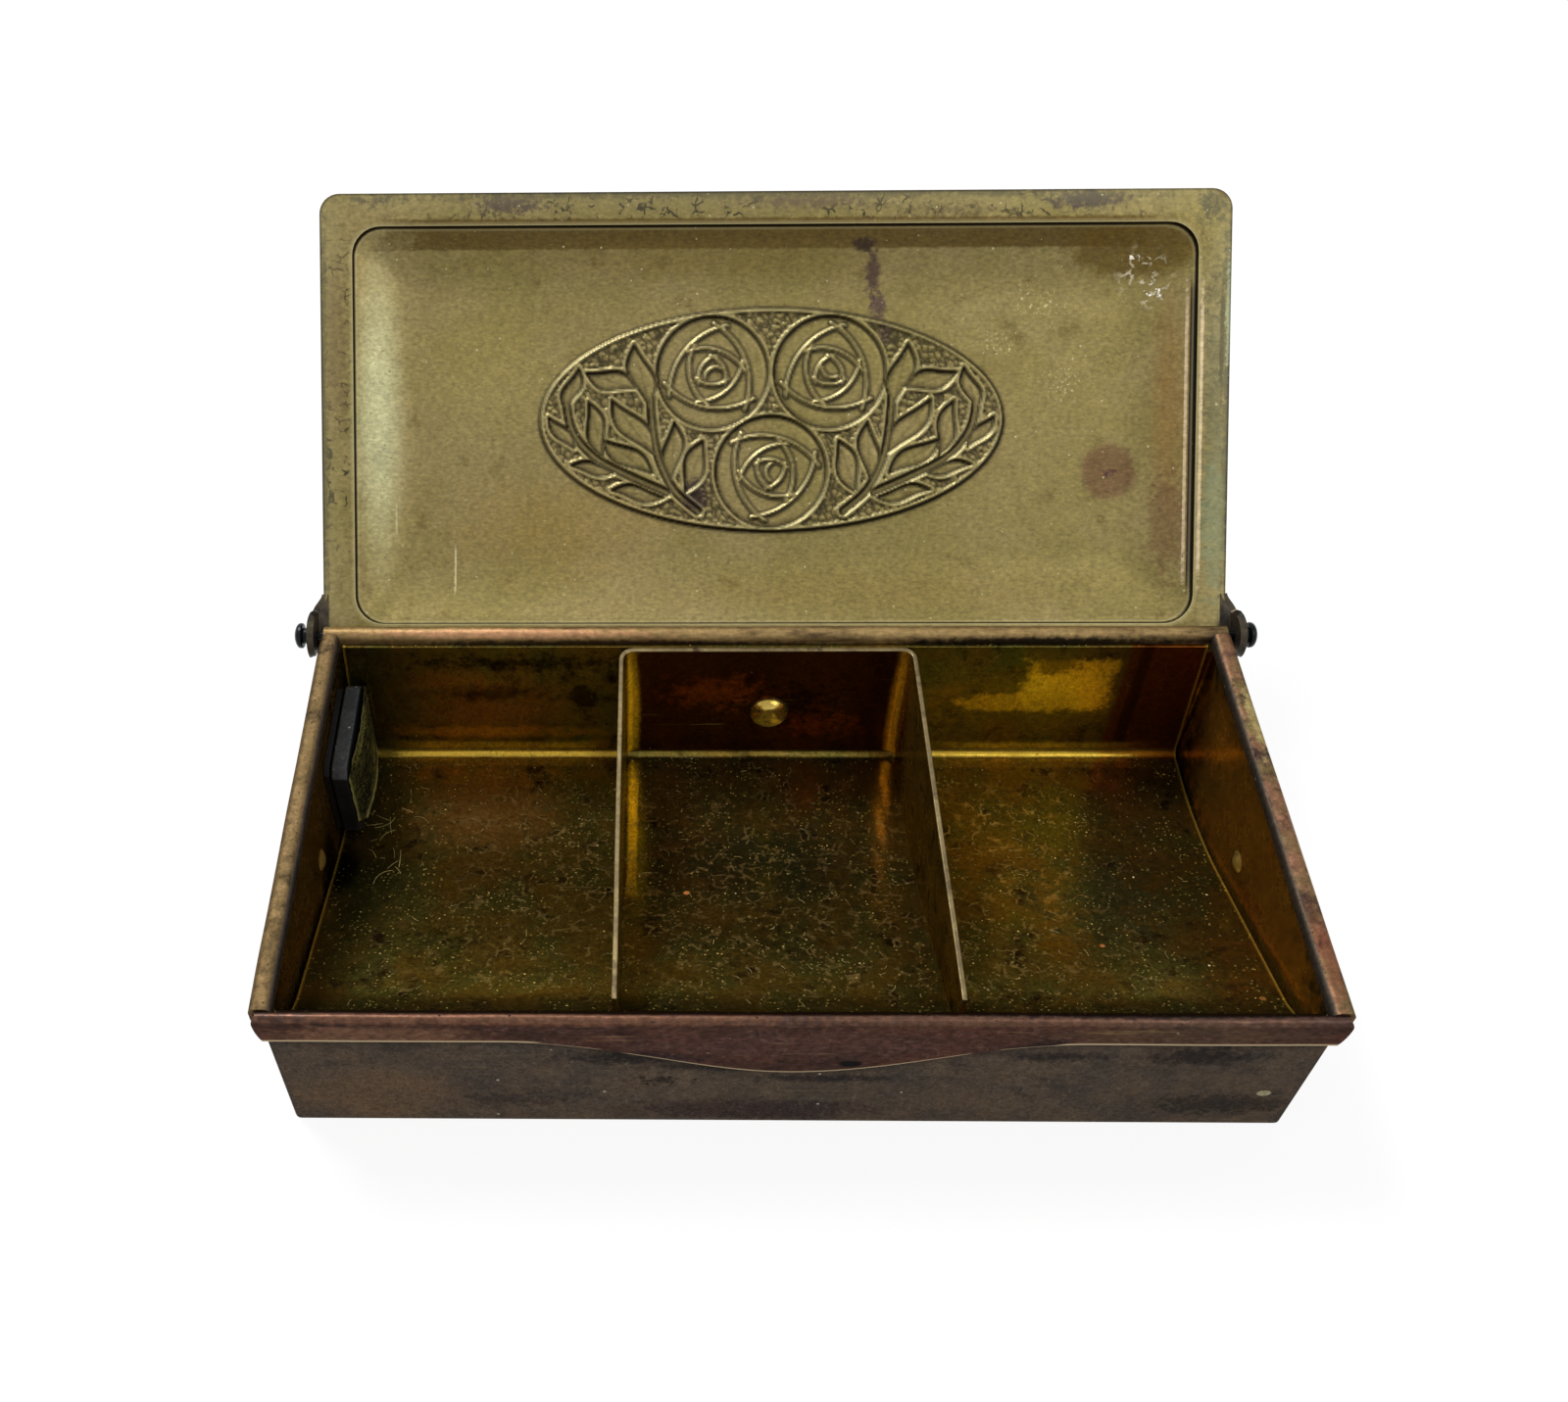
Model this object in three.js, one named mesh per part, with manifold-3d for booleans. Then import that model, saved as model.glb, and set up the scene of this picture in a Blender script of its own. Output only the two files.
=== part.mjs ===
// Stamp box of thin pressed brass, three compartments, hinged lid standing open at its stop.
// Millimetres, +Z up, +X to the right, +Y towards the hinge.
// The origin is the centre of the case's underside.

import * as THREE from 'three';
import { mergeVertices } from 'three/addons/utils/BufferGeometryUtils.js';
import Module from 'manifold-3d';

const wasm = await Module();
wasm.setup();

// Case
const rimLength = 114; // over the folded side rims
const caseDepth = 56.6; // from the apron's face to the back of the hinge curl
const caseHeight = 23.5; // underside to the top of the rims
const caseSheet = 0.5;
const caseCorner = 0.8; // upright corners of the case
const rimOverhang = 1.0; // how far a side rim stands out past its wall
const rimWidth = 2.4; // flat top of a side rim
const rimLip = 2.3; // depth of a side rim's turned-down lip
const rimSetDown = 2.6; // where the side wall starts to step in under the rim
const rimBend = 0.5; // bend radius on the sheet's middle line
const rimStepStart = 0.1; // from the wall's top to the bend where the rim steps in

// Front apron, folded over the front wall
const apronGap = 0.25; // between the apron and the wall behind it
const apronDrop = 4.4; // depth of the apron at its ends
const bellDrop = 6.2; // how much deeper it is in the middle
const bellHalfWidth = 31;
const apronCornerCut = 1.0; // slope at each end of the apron
const cornerSeam = 0.2; // open seam between the apron's fold and a side rim
const foldEase = 0.005; // keeps the fold's two bends apart by twice this

// Dimples pressed into the side walls from outside
const dimpleRadius = 2.5; // of the punch's ball
const dimpleDepth = 0.5;
const dimpleHeight = 9.5;
const dimpleFromFront = 30;

// Liner tray: back plate, bend, flat floor, ramp and sweep up to the front rim
const traySheet = 0.5;
const traySideGap = 0.3;
const sheetFit = 0.05; // between sheets that lie on each other
const trayBackDrop = 1.5; // the back plate's top, below the rims
const trayFrontDrop = 0.9; // the front edge, below the rims
const trayBackBend = 1.4;
const rampStart = 40.8; // where floor and ramp would meet, from the front
const rampAngle = THREE.MathUtils.degToRad(21);
const rampBend = 50;
const sweepEndAngle = THREE.MathUtils.degToRad(80);

// Partition: one strip bent into a U, its legs along the tray's floor
const stripSheet = 0.6;
const stripLeft = -19.3; // outer face of the left leg
const stripRight = 17.9;
const stripDrop = 1.5; // the strip's top, below the rims
const stripBend = 1.8; // outside radius of its two bends
const stripFromFront = 3.6; // front end of the legs
const stripFloorGap = 0.3;

// Rivet through strip, tray and back wall
const rivetShank = 1.0;
const rivetHead = 2.45;
const rivetHeadRise = 1.7;
const rivetTail = 1.7;
const rivetTailRise = 0.6;
const rivetTailRound = 0.35; // rounding of the hammered tail
const rivetHoleGap = 0.25;
const rivetHeight = 10.5;

// Hinge
const rodRadius = 0.5;
const rodFit = 0.12; // rod in the curl
const earFit = 0.16; // rod in an ear
const curlEndGap = 0.4; // how far each end of the curl stays inside the rims
const curlEnd = THREE.MathUtils.degToRad(-105); // where the rolled edge ends
const headNeckRadius = 1.0;
const headNeck = 0.45;
const headRadius = 1.6;
const headRise = 1.1;
const headShoulder = 0.4; // straight side of the head, below its dome
const headSocket = 0.7; // how deep the rod's end sits in a head
const openAngle = THREE.MathUtils.degToRad(136);

// Lid
const lidSheet = 0.6;
const lidGap = 0.33; // closed, between the lid and the curl or rims
const lidCorner = 2.5;
const lidStopGap = 0.3; // open, between the rear edge and the back wall
const flangeWidth = 4.1;
const rearFlange = 1.5; // from the hinge axis to the panel's step
const panelCorner = 3.6;
const stepRise = 0.8;
const cushionWidth = 9;
const cushionRise = 2.2; // above the step

// Ears at the lid's back corners
const earSheet = 0.9;
const earRimGap = 0.6; // between an ear and the side rim
const earRadius = 2.7;
const earFlare = 2.5; // length of the curve from the lid's edge out to the ear's plate
const earShoulder = 0.5; // where the plate starts to drop, in front of its round end
const headGap = 0.3; // between an ear and the neck of its head

// Embossed oval in the middle of the lid: its ground stands up inside, round roses and sprays
const ovalFromHinge = 27.4;
const ovalHalfLength = 29.5;
const ovalHalfHeight = 14.1;
const groundRise = 0.4;
const grooveDepth = 0.22; // outside, where the ground and the petals are raised inside
const roseRadius = 7.1;
const roseSpread = 7.45; // upper roses, either side of the middle
const roseLift = 6.0; // upper roses, above the oval's middle
const roseDrop = 6.6; // lower rose, below it
const stemWidth = 0.9;
const petalWidth = 0.6;
const petalRise = 0.35;

// Petals of a rose, ring by ring: lengths are shares of the rose's radius, angles are in degrees
const petalRings = [
  { count: 3, radius: 1.25, offset: -0.62, turn: 0, sweep: 81 },
  { count: 3, radius: 0.85, offset: -0.44, turn: 52, sweep: 80 },
  { count: 3, radius: 0.42, offset: -0.2, turn: 8, sweep: 84 },
  { count: 1, radius: 0.2, offset: -0.12, turn: 100, sweep: 110 },
];

// One spray: x outwards from the oval's middle, y away from the hinge
const sprayStems = [
  [[9.3, -11.6], [12.4, -8.8], [14.4, -4.6], [15.2, 0.2], [15.4, 4.8]],
  [[13.2, -9.2], [18.4, -6.9], [22.6, -4.6], [25.4, -1.2], [26.2, 3.0]],
];
const sprayLeaves = [
  { foot: [10.9, -9.2], tip: [8.6, -2.6], half: 1.4, bow: 0.25 },
  { foot: [12.7, -7.6], tip: [12.3, -0.3], half: 1.3, bow: -0.3 },
  { foot: [14.9, -4.4], tip: [20.3, 2.6], half: 1.5, bow: 0.4 },
  { foot: [15.0, -6.9], tip: [21.6, -2.4], half: 1.3, bow: 0.35 },
  { foot: [13.4, -9.8], tip: [20.4, -8.9], half: 0.95, bow: -0.3 },
  { foot: [15.6, 1.8], tip: [17.4, 9.6], half: 1.5, bow: 0.4 },
  { foot: [17.0, 4.0], tip: [23.6, 6.0], half: 1.3, bow: 0.35 },
  { foot: [21.4, -4.7], tip: [23.3, 2.4], half: 1.2, bow: -0.35 },
  { foot: [19.6, -6.6], tip: [25.6, -5.7], half: 0.8, bow: -0.2 },
  { foot: [25.0, -3.6], tip: [28.4, 0.4], half: 0.9, bow: 0.2 },
  { foot: [26.3, 1.2], tip: [24.5, 6.6], half: 1.0, bow: -0.3 },
];

// Pad on the left wall
const padBacking = 0.7;
const padBackingInset = 1.0; // how much shorter the backing is than the block
const padSlot = 0.3; // between backing and block
const padThick = 2.0;
const padHeight = 13.8;
const padLength = 15.4;
const padChamfer = 2.2;
const padFromBack = 0.7; // behind the block, to the tray's back plate
const padFloorGap = 1.7;
const facingThick = 0.5;
const facingBulge = 0.9;

// Facets
const bendSteps = 4;
const curlSteps = 14;
const roundSides = 16;
const domeSteps = 5;
const rampSteps = 6;
const sweepSteps = 8;
const apronSteps = 48;
const ovalSteps = 56;
const roseSteps = 28;
const petalSteps = 7;
const stemSteps = 9;
const leafSteps = 5;

// Places that follow from the sizes above
const wallOuterX = rimLength / 2 - rimOverhang;
const wallInnerX = wallOuterX - caseSheet;
const frontY = -caseDepth / 2;
const frontWallY = frontY + caseSheet + apronGap;
const curlRadius = rodRadius + rodFit + caseSheet;
const hingeY = caseDepth / 2 - curlRadius;
const hingeZ = caseHeight - curlRadius;
const backWallInnerY = hingeY - curlRadius;
const backWallY = backWallInnerY + caseSheet;
const lowerWallTop = caseHeight - rimSetDown;
const trayBackY = backWallInnerY - sheetFit - traySheet;
const trayFloorZ = caseSheet + sheetFit + traySheet;
const trayHalf = wallInnerX - traySideGap;
const stripBackY = trayBackY - sheetFit;
const lidUnder = curlRadius + lidGap;
const earInnerX = rimLength / 2 + earRimGap;
const earOuterX = earInnerX + earSheet;
const lidFront = hingeY - frontY;
const lidRear = (lidUnder * Math.sin(openAngle) + curlRadius - caseSheet - lidStopGap) / -Math.cos(openAngle);
const headX = earOuterX + headGap;

// Finishes
const brassCase = { color: 0x6b5238, roughness: 0.5, metalness: 0.85 };
const brassInside = { color: 0x6d5520, roughness: 0.38, metalness: 0.9 };
const brassLid = { color: 0x8a8050, roughness: 0.55, metalness: 0.7 };
const blackSteel = { color: 0x24282c, roughness: 0.35, metalness: 0.9 };
const blackRubber = { color: 0x1b1c1e, roughness: 0.85, metalness: 0 };
const oliveFelt = { color: 0x5a5a2c, roughness: 0.95, metalness: 0 };

// Solids and booleans
function toSolid(geometry) {
  const bare = geometry.clone();
  bare.deleteAttribute('normal');
  bare.deleteAttribute('uv');
  const merged = mergeVertices(bare, 1e-5);
  return new wasm.Manifold(
    new wasm.Mesh({
      numProp: 3,
      vertProperties: new Float32Array(merged.attributes.position.array),
      triVerts: new Uint32Array(merged.index.array),
    })
  );
}

function toGeometry(solid) {
  const mesh = solid.getMesh();
  const geometry = new THREE.BufferGeometry();
  geometry.setAttribute('position', new THREE.BufferAttribute(new Float32Array(mesh.vertProperties), 3));
  geometry.setIndex(new THREE.BufferAttribute(new Uint32Array(mesh.triVerts), 1));
  geometry.computeVertexNormals();
  return geometry;
}

function unite(solids) {
  return solids.reduce((sum, next) => sum.add(next));
}

function named(name, solid, finish) {
  const mesh = new THREE.Mesh(toGeometry(solid), new THREE.MeshStandardMaterial(finish));
  mesh.name = name;
  return mesh;
}

// Extrusions: a flat outline carried along one axis
function extrude(shape, length, curveSegments = 8) {
  return new THREE.ExtrudeGeometry(shape, { depth: length, bevelEnabled: false, steps: 1, curveSegments });
}

function alongX(shape, fromX, toX) {
  const geometry = extrude(shape, toX - fromX);
  const turn = new THREE.Matrix4().makeBasis(
    new THREE.Vector3(0, 1, 0),
    new THREE.Vector3(0, 0, 1),
    new THREE.Vector3(1, 0, 0)
  );
  geometry.applyMatrix4(turn);
  geometry.translate(fromX, 0, 0);
  return toSolid(geometry);
}

function alongY(shape, fromY, toY) {
  const geometry = extrude(shape, toY - fromY);
  geometry.rotateX(Math.PI / 2);
  geometry.translate(0, toY, 0);
  return toSolid(geometry);
}

function alongZ(shape, fromZ, toZ, curveSegments = 8) {
  const geometry = extrude(shape, toZ - fromZ, curveSegments);
  geometry.translate(0, 0, fromZ);
  return toSolid(geometry);
}

function rodAlongX(radius, fromX, toX, y, z) {
  const geometry = new THREE.CylinderGeometry(radius, radius, toX - fromX, roundSides);
  geometry.rotateZ(Math.PI / 2);
  geometry.translate((fromX + toX) / 2, y, z);
  return toSolid(geometry);
}

function rodAlongY(radius, fromY, toY, x, z) {
  const geometry = new THREE.CylinderGeometry(radius, radius, toY - fromY, roundSides);
  geometry.translate(x, (fromY + toY) / 2, z);
  return toSolid(geometry);
}

// Paths: points joined by straight runs, each corner rounded by its own radius
function arcPoints(centreX, centreY, radius, from, to, steps) {
  return Array.from({ length: steps + 1 }, (_, i) => {
    const angle = from + ((to - from) * i) / steps;
    return new THREE.Vector2(centreX + radius * Math.cos(angle), centreY + radius * Math.sin(angle));
  });
}

function roundedPath(corners) {
  const path = [];
  corners.forEach(([x, y, radius = 0], i) => {
    const here = new THREE.Vector2(x, y);
    if (radius === 0 || i === 0 || i === corners.length - 1) {
      path.push(here);
      return;
    }
    const back = new THREE.Vector2(corners[i - 1][0], corners[i - 1][1]).sub(here).normalize();
    const ahead = new THREE.Vector2(corners[i + 1][0], corners[i + 1][1]).sub(here).normalize();
    const half = Math.acos(THREE.MathUtils.clamp(back.dot(ahead), -1, 1)) / 2;
    const reach = radius / Math.tan(half);
    const start = here.clone().addScaledVector(back, reach);
    const end = here.clone().addScaledVector(ahead, reach);
    const centre = here.clone().addScaledVector(back.clone().add(ahead).normalize(), radius / Math.sin(half));
    const from = start.clone().sub(centre).angle();
    let sweep = end.clone().sub(centre).angle() - from;
    sweep -= 2 * Math.PI * Math.round(sweep / (2 * Math.PI));
    path.push(...arcPoints(centre.x, centre.y, radius, from, from + sweep, bendSteps));
  });
  return path;
}

// The path moved sideways: to the left of its own direction where the distance is positive
function sidePath(path, distance) {
  return path.map((point, i) => {
    const before = path[Math.max(i - 1, 0)];
    const after = path[Math.min(i + 1, path.length - 1)];
    const into = (i === 0 ? after.clone().sub(point) : point.clone().sub(before)).normalize();
    const out = (i === path.length - 1 ? point.clone().sub(before) : after.clone().sub(point)).normalize();
    const along = into.add(out).normalize();
    const reach = distance / along.dot(out);
    return new THREE.Vector2(point.x - along.y * reach, point.y + along.x * reach);
  });
}

// A sheet seen on edge: the path is its middle line
function sheetShape(path, thickness) {
  return new THREE.Shape([...sidePath(path, thickness / 2), ...sidePath(path, -thickness / 2).reverse()]);
}

function roundedRectangle(lowX, lowY, highX, highY, radius) {
  const shape = new THREE.Shape();
  shape.absarc(highX - radius, lowY + radius, radius, -Math.PI / 2, 0);
  shape.absarc(highX - radius, highY - radius, radius, 0, Math.PI / 2);
  shape.absarc(lowX + radius, highY - radius, radius, Math.PI / 2, Math.PI);
  shape.absarc(lowX + radius, lowY + radius, radius, Math.PI, 1.5 * Math.PI);
  return shape;
}

// A closed skin through outlines of equal point counts, capped at both ends
function loft(rings) {
  const count = rings[0].length;
  const positions = rings.flatMap((ring) => ring.flatMap((p) => [p.x, p.y, p.z]));
  const index = [];
  for (let r = 0; r < rings.length - 1; r++) {
    for (let i = 0; i < count; i++) {
      const a = r * count + i;
      const b = r * count + ((i + 1) % count);
      index.push(a, b, b + count, a, b + count, a + count);
    }
  }
  const capFaces = THREE.ShapeUtils.triangulateShape(rings[0].map((p) => new THREE.Vector2(p.x, p.y)), []);
  const last = (rings.length - 1) * count;
  capFaces.forEach(([a, b, c]) => {
    index.push(a, c, b);
    index.push(last + a, last + b, last + c);
  });
  const geometry = new THREE.BufferGeometry();
  geometry.setAttribute('position', new THREE.Float32BufferAttribute(positions, 3));
  geometry.setIndex(index);
  return toSolid(geometry);
}

// Case body: lower walls and bottom
function lowerCase() {
  const plan = (inset, radius) =>
    roundedRectangle(
      -wallOuterX + inset,
      frontWallY + inset,
      wallOuterX - inset,
      backWallY - inset,
      radius
    );
  const outside = alongZ(plan(0, caseCorner), 0, lowerWallTop, bendSteps);
  const inside = alongZ(plan(caseSheet, caseCorner - caseSheet), caseSheet, caseHeight, bendSteps);
  return outside.subtract(inside);
}

// Side rim: the wall steps in, turns out flat over the top and ends in a lip
function sideRim(side) {
  const wallX = wallOuterX - caseSheet / 2;
  const innerX = rimLength / 2 - rimWidth + caseSheet / 2;
  const outerX = rimLength / 2 - caseSheet / 2;
  const topZ = caseHeight - caseSheet / 2;
  const stepIn = wallX - innerX;
  const path = roundedPath([
    [side * wallX, lowerWallTop - caseSheet],
    [side * wallX, lowerWallTop + rimStepStart, rimBend / 2],
    [side * innerX, lowerWallTop + rimStepStart + stepIn, rimBend / 2],
    [side * innerX, topZ, rimBend],
    [side * outerX, topZ, rimBend],
    [side * outerX, caseHeight - rimLip],
  ]);
  const fromY = frontWallY + caseSheet + cornerSeam;
  return alongY(sheetShape(path, caseSheet), fromY, backWallInnerY + caseSheet / 2);
}

// Height of the apron's lower edge at a distance from the middle
function apronEdge(x) {
  const reach = Math.min(Math.abs(x) / bellHalfWidth, 1);
  return caseHeight - apronDrop - bellDrop * (0.5 + 0.5 * Math.cos(Math.PI * reach));
}

// Front apron: the wall's top folded forward and down, its lower edge cut to a bell
function frontApron() {
  const wallMiddle = frontWallY + caseSheet / 2;
  const apronMiddle = frontY + caseSheet / 2;
  const topZ = caseHeight - caseSheet / 2;
  const foldRadius = (wallMiddle - apronMiddle) / 2 - foldEase;
  const foldZ = topZ - foldRadius - sheetFit;
  const wallStrip = new THREE.Shape([
    new THREE.Vector2(frontWallY, lowerWallTop - caseSheet),
    new THREE.Vector2(frontWallY + caseSheet, lowerWallTop - caseSheet),
    new THREE.Vector2(frontWallY + caseSheet, foldZ + caseSheet / 4),
    new THREE.Vector2(frontWallY, foldZ + caseSheet / 4),
  ]);
  const fold = roundedPath([
    [wallMiddle, foldZ],
    [wallMiddle, topZ, foldRadius],
    [apronMiddle, topZ, foldRadius],
    [apronMiddle, caseHeight - apronDrop - bellDrop - caseSheet],
  ]);
  const folded = alongX(sheetShape(fold, caseSheet), -rimLength / 2, rimLength / 2);

  const below = [new THREE.Vector2(-rimLength, 0), new THREE.Vector2(rimLength, 0)];
  below.push(new THREE.Vector2(rimLength / 2 + apronCornerCut / 4, caseHeight - apronDrop / 2));
  for (let i = 0; i <= apronSteps; i++) {
    const x = (rimLength / 2 - apronCornerCut) * (1 - (2 * i) / apronSteps);
    below.push(new THREE.Vector2(x, apronEdge(x)));
  }
  below.push(new THREE.Vector2(-rimLength / 2 - apronCornerCut / 4, caseHeight - apronDrop / 2));
  const cutter = alongY(new THREE.Shape(below), frontY - caseSheet, frontWallY - apronGap / 2);
  const strip = alongX(wallStrip, -wallOuterX, wallOuterX);
  return folded.subtract(cutter).add(strip);
}

// Hinge curl: the back wall's top rolled round the rod
function hingeCurl() {
  const wallMiddle = backWallInnerY + caseSheet / 2;
  const stripTop = hingeZ - rodFit;
  const wallStrip = new THREE.Shape([
    new THREE.Vector2(backWallInnerY, lowerWallTop - caseSheet),
    new THREE.Vector2(backWallY, lowerWallTop - caseSheet),
    new THREE.Vector2(backWallY, stripTop),
    new THREE.Vector2(backWallInnerY, stripTop),
  ]);
  const roll = [
    new THREE.Vector2(wallMiddle, hingeZ - curlRadius / 2),
    ...arcPoints(hingeY, hingeZ, curlRadius - caseSheet / 2, Math.PI, curlEnd, curlSteps),
  ];
  const curlHalf = rimLength / 2 - curlEndGap;
  return alongX(sheetShape(roll, caseSheet), -curlHalf, curlHalf).add(
    alongX(wallStrip, -wallOuterX, wallOuterX)
  );
}

// Dimple: a ball pressed into a side wall, standing in on the inside
function dimpled(body, side) {
  const ballX = side * (wallInnerX - dimpleDepth + dimpleRadius);
  const place = (radius) => {
    const ball = new THREE.SphereGeometry(radius, roundSides, roundSides / 2);
    ball.rotateZ(Math.PI / 2);
    ball.translate(ballX, frontY + dimpleFromFront, dimpleHeight);
    return toSolid(ball);
  };
  const insideWall = new THREE.BoxGeometry(dimpleDepth * 2 + caseSheet, dimpleRadius * 2, dimpleRadius * 2);
  insideWall.translate(
    side * (wallOuterX - (dimpleDepth * 2 + caseSheet) / 2),
    frontY + dimpleFromFront,
    dimpleHeight
  );
  const bump = place(dimpleRadius).intersect(toSolid(insideWall));
  return body.add(bump).subtract(place(dimpleRadius - caseSheet));
}

function caseBody() {
  const folded = unite([lowerCase(), sideRim(1), sideRim(-1), frontApron(), hingeCurl()]);
  const rivetHole = rodAlongY(
    rivetShank + rivetHoleGap,
    backWallInnerY - caseSheet,
    backWallY + caseSheet,
    0,
    rivetHeight
  );
  return dimpled(dimpled(folded, 1), -1).subtract(rivetHole);
}

// Tray seen from the side, on the sheet's middle: back plate, floor, ramp and sweep
function trayMiddleLine() {
  const half = traySheet / 2;
  const floorZ = trayFloorZ - half;
  const endY = frontWallY + caseSheet + sheetFit + half;
  const endZ = caseHeight - trayFrontDrop;
  const rampY = frontY + rampStart;
  const slope = Math.tan(rampAngle);
  const acrossFactor = Math.sin(sweepEndAngle) - Math.sin(rampAngle);
  const riseFactor = Math.cos(rampAngle) - Math.cos(sweepEndAngle);
  const rampRiseAtEnd = floorZ + (rampY - endY) * slope;
  const sweepRadius = (endZ - rampRiseAtEnd) / (riseFactor - acrossFactor * slope);
  const sweepY = endY + sweepRadius * acrossFactor;
  const centreY = sweepY + sweepRadius * Math.sin(rampAngle);
  const centreZ = floorZ + (rampY - sweepY) * slope + sweepRadius * Math.cos(rampAngle);
  const bottom = -Math.PI / 2;
  const bendY = rampY + rampBend * Math.tan(rampAngle / 2);
  const backAndFloor = roundedPath([
    [trayBackY + half, caseHeight - trayBackDrop],
    [trayBackY + half, floorZ, trayBackBend],
    [bendY, floorZ],
  ]);
  const onRamp = bottom - rampAngle;
  const bend = arcPoints(bendY, floorZ + rampBend, rampBend, bottom, onRamp, rampSteps);
  const sweep = arcPoints(centreY, centreZ, sweepRadius, onRamp, bottom - sweepEndAngle, sweepSteps);
  return [...backAndFloor, ...bend.slice(1), ...sweep];
}

// The tray narrows upwards, to pass the rims where they stand in over the walls
function trayTrim(side) {
  const rimInnerX = rimLength / 2 - rimWidth;
  const wedge = new THREE.Shape([
    new THREE.Vector2(side * trayHalf, trayFloorZ + trayBackBend),
    new THREE.Vector2(side * (rimInnerX - traySideGap), lowerWallTop - traySideGap),
    new THREE.Vector2(side * (rimInnerX - traySideGap), caseHeight),
    new THREE.Vector2(side * rimLength, caseHeight),
    new THREE.Vector2(side * rimLength, trayFloorZ + trayBackBend),
  ]);
  return alongY(wedge, -caseDepth, caseDepth);
}

function linerTray() {
  const tray = alongX(sheetShape(trayMiddleLine(), traySheet), -trayHalf, trayHalf);
  const hole = rodAlongY(rivetShank + rivetHoleGap, trayBackY - traySheet, backWallY, 0, rivetHeight);
  return tray.subtract(trayTrim(1)).subtract(trayTrim(-1)).subtract(hole);
}

// Partition: a U in plan, trimmed below by the tray's floor
function partitionStrip() {
  const half = stripSheet / 2;
  const plan = roundedPath([
    [stripLeft + half, frontY + stripFromFront],
    [stripLeft + half, stripBackY - half, stripBend - half],
    [stripRight - half, stripBackY - half, stripBend - half],
    [stripRight - half, frontY + stripFromFront],
  ]);
  const strip = alongZ(sheetShape(plan, stripSheet), 0, caseHeight - stripDrop);
  const aboveFloor = sidePath(trayMiddleLine(), -traySheet / 2 - stripFloorGap).slice(bendSteps + 2);
  const backFootZ = trayFloorZ + trayBackBend;
  const underneath = new THREE.Shape([
    new THREE.Vector2(trayBackY + caseSheet, backFootZ),
    new THREE.Vector2(trayBackY - trayBackBend, backFootZ),
    new THREE.Vector2(trayBackY - trayBackBend, aboveFloor[0].y),
    ...aboveFloor,
    new THREE.Vector2(frontY - caseSheet, caseHeight),
    new THREE.Vector2(frontY - caseSheet, -caseSheet),
    new THREE.Vector2(trayBackY + caseSheet, -caseSheet),
  ]);
  const holeRadius = rivetShank + rivetHoleGap;
  const hole = rodAlongY(holeRadius, stripBackY - stripBend, trayBackY + traySheet, 0, rivetHeight);
  return strip.subtract(alongX(underneath, -rimLength / 2, rimLength / 2)).subtract(hole);
}

// Rivet: domed head inside, shank, small tail outside
function partitionRivet() {
  const grip = backWallY - (stripBackY - stripSheet) + sheetFit;
  const profile = [
    new THREE.Vector2(0, -rivetHeadRise),
    ...arcPoints(0, 0, 1, 0, Math.PI / 2, domeSteps)
      .reverse()
      .slice(1)
      .map((p) => new THREE.Vector2(rivetHead * p.x, -rivetHeadRise * p.y)),
    new THREE.Vector2(rivetShank, 0),
    new THREE.Vector2(rivetShank, grip),
    new THREE.Vector2(rivetTail, grip),
    new THREE.Vector2(rivetTail - rivetTailRound, grip + rivetTailRise - rivetTailRound / 2),
    new THREE.Vector2(0, grip + rivetTailRise),
  ];
  const rivet = new THREE.LatheGeometry(profile, roundSides);
  rivet.translate(0, stripBackY - stripSheet - sheetFit / 2, rivetHeight);
  return toSolid(rivet);
}

// Hinge rod, from head to head
function hingeRod() {
  const reach = headX + headSocket - sheetFit;
  return rodAlongX(rodRadius, -reach, reach, hingeY, hingeZ);
}

// Hinge head: neck and dome with a blind socket for the rod
function hingeHead(side) {
  const socket = rodRadius + rodFit;
  const domeStart = headNeck + headShoulder;
  const profile = [
    new THREE.Vector2(0, headSocket),
    new THREE.Vector2(socket, headSocket),
    new THREE.Vector2(socket, 0),
    new THREE.Vector2(headNeckRadius, 0),
    new THREE.Vector2(headNeckRadius, headNeck),
    new THREE.Vector2(headRadius, headNeck),
    ...arcPoints(0, 0, 1, 0, Math.PI / 2, domeSteps)
      .slice(1)
      .map((p) => new THREE.Vector2(headRadius * p.x, domeStart + (headRise - headShoulder) * p.y)),
  ];
  const head = new THREE.LatheGeometry(profile, roundSides);
  head.rotateZ((-side * Math.PI) / 2);
  head.translate(side * headX, hingeY, hingeZ);
  return toSolid(head);
}

// Lid outlines, about the hinge axis with the lid closed: y runs from the hinge to the front as -y
function panelRing(inset, z) {
  const half = rimLength / 2 - flangeWidth - inset;
  const corner = Math.max(panelCorner - inset, 1);
  const outline = roundedRectangle(
    -half,
    -lidFront + flangeWidth + inset,
    half,
    -rearFlange - inset,
    corner
  );
  return outline
    .getPoints(6)
    .slice(0, -1)
    .map((p) => new THREE.Vector3(p.x, p.y, z));
}

// Cushion panel: crisp step, easy slope, flat middle
function panelBlock(growth, startZ) {
  const base = lidUnder + stepRise + growth;
  const slopeSteps = 5;
  const rings = [panelRing(-growth, startZ), panelRing(0.1 - growth, base)];
  for (let i = 1; i <= slopeSteps; i++) {
    const t = i / slopeSteps;
    rings.push(panelRing(cushionWidth * t, base + cushionRise * Math.sin((Math.PI / 2) * t)));
  }
  return loft(rings);
}

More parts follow.
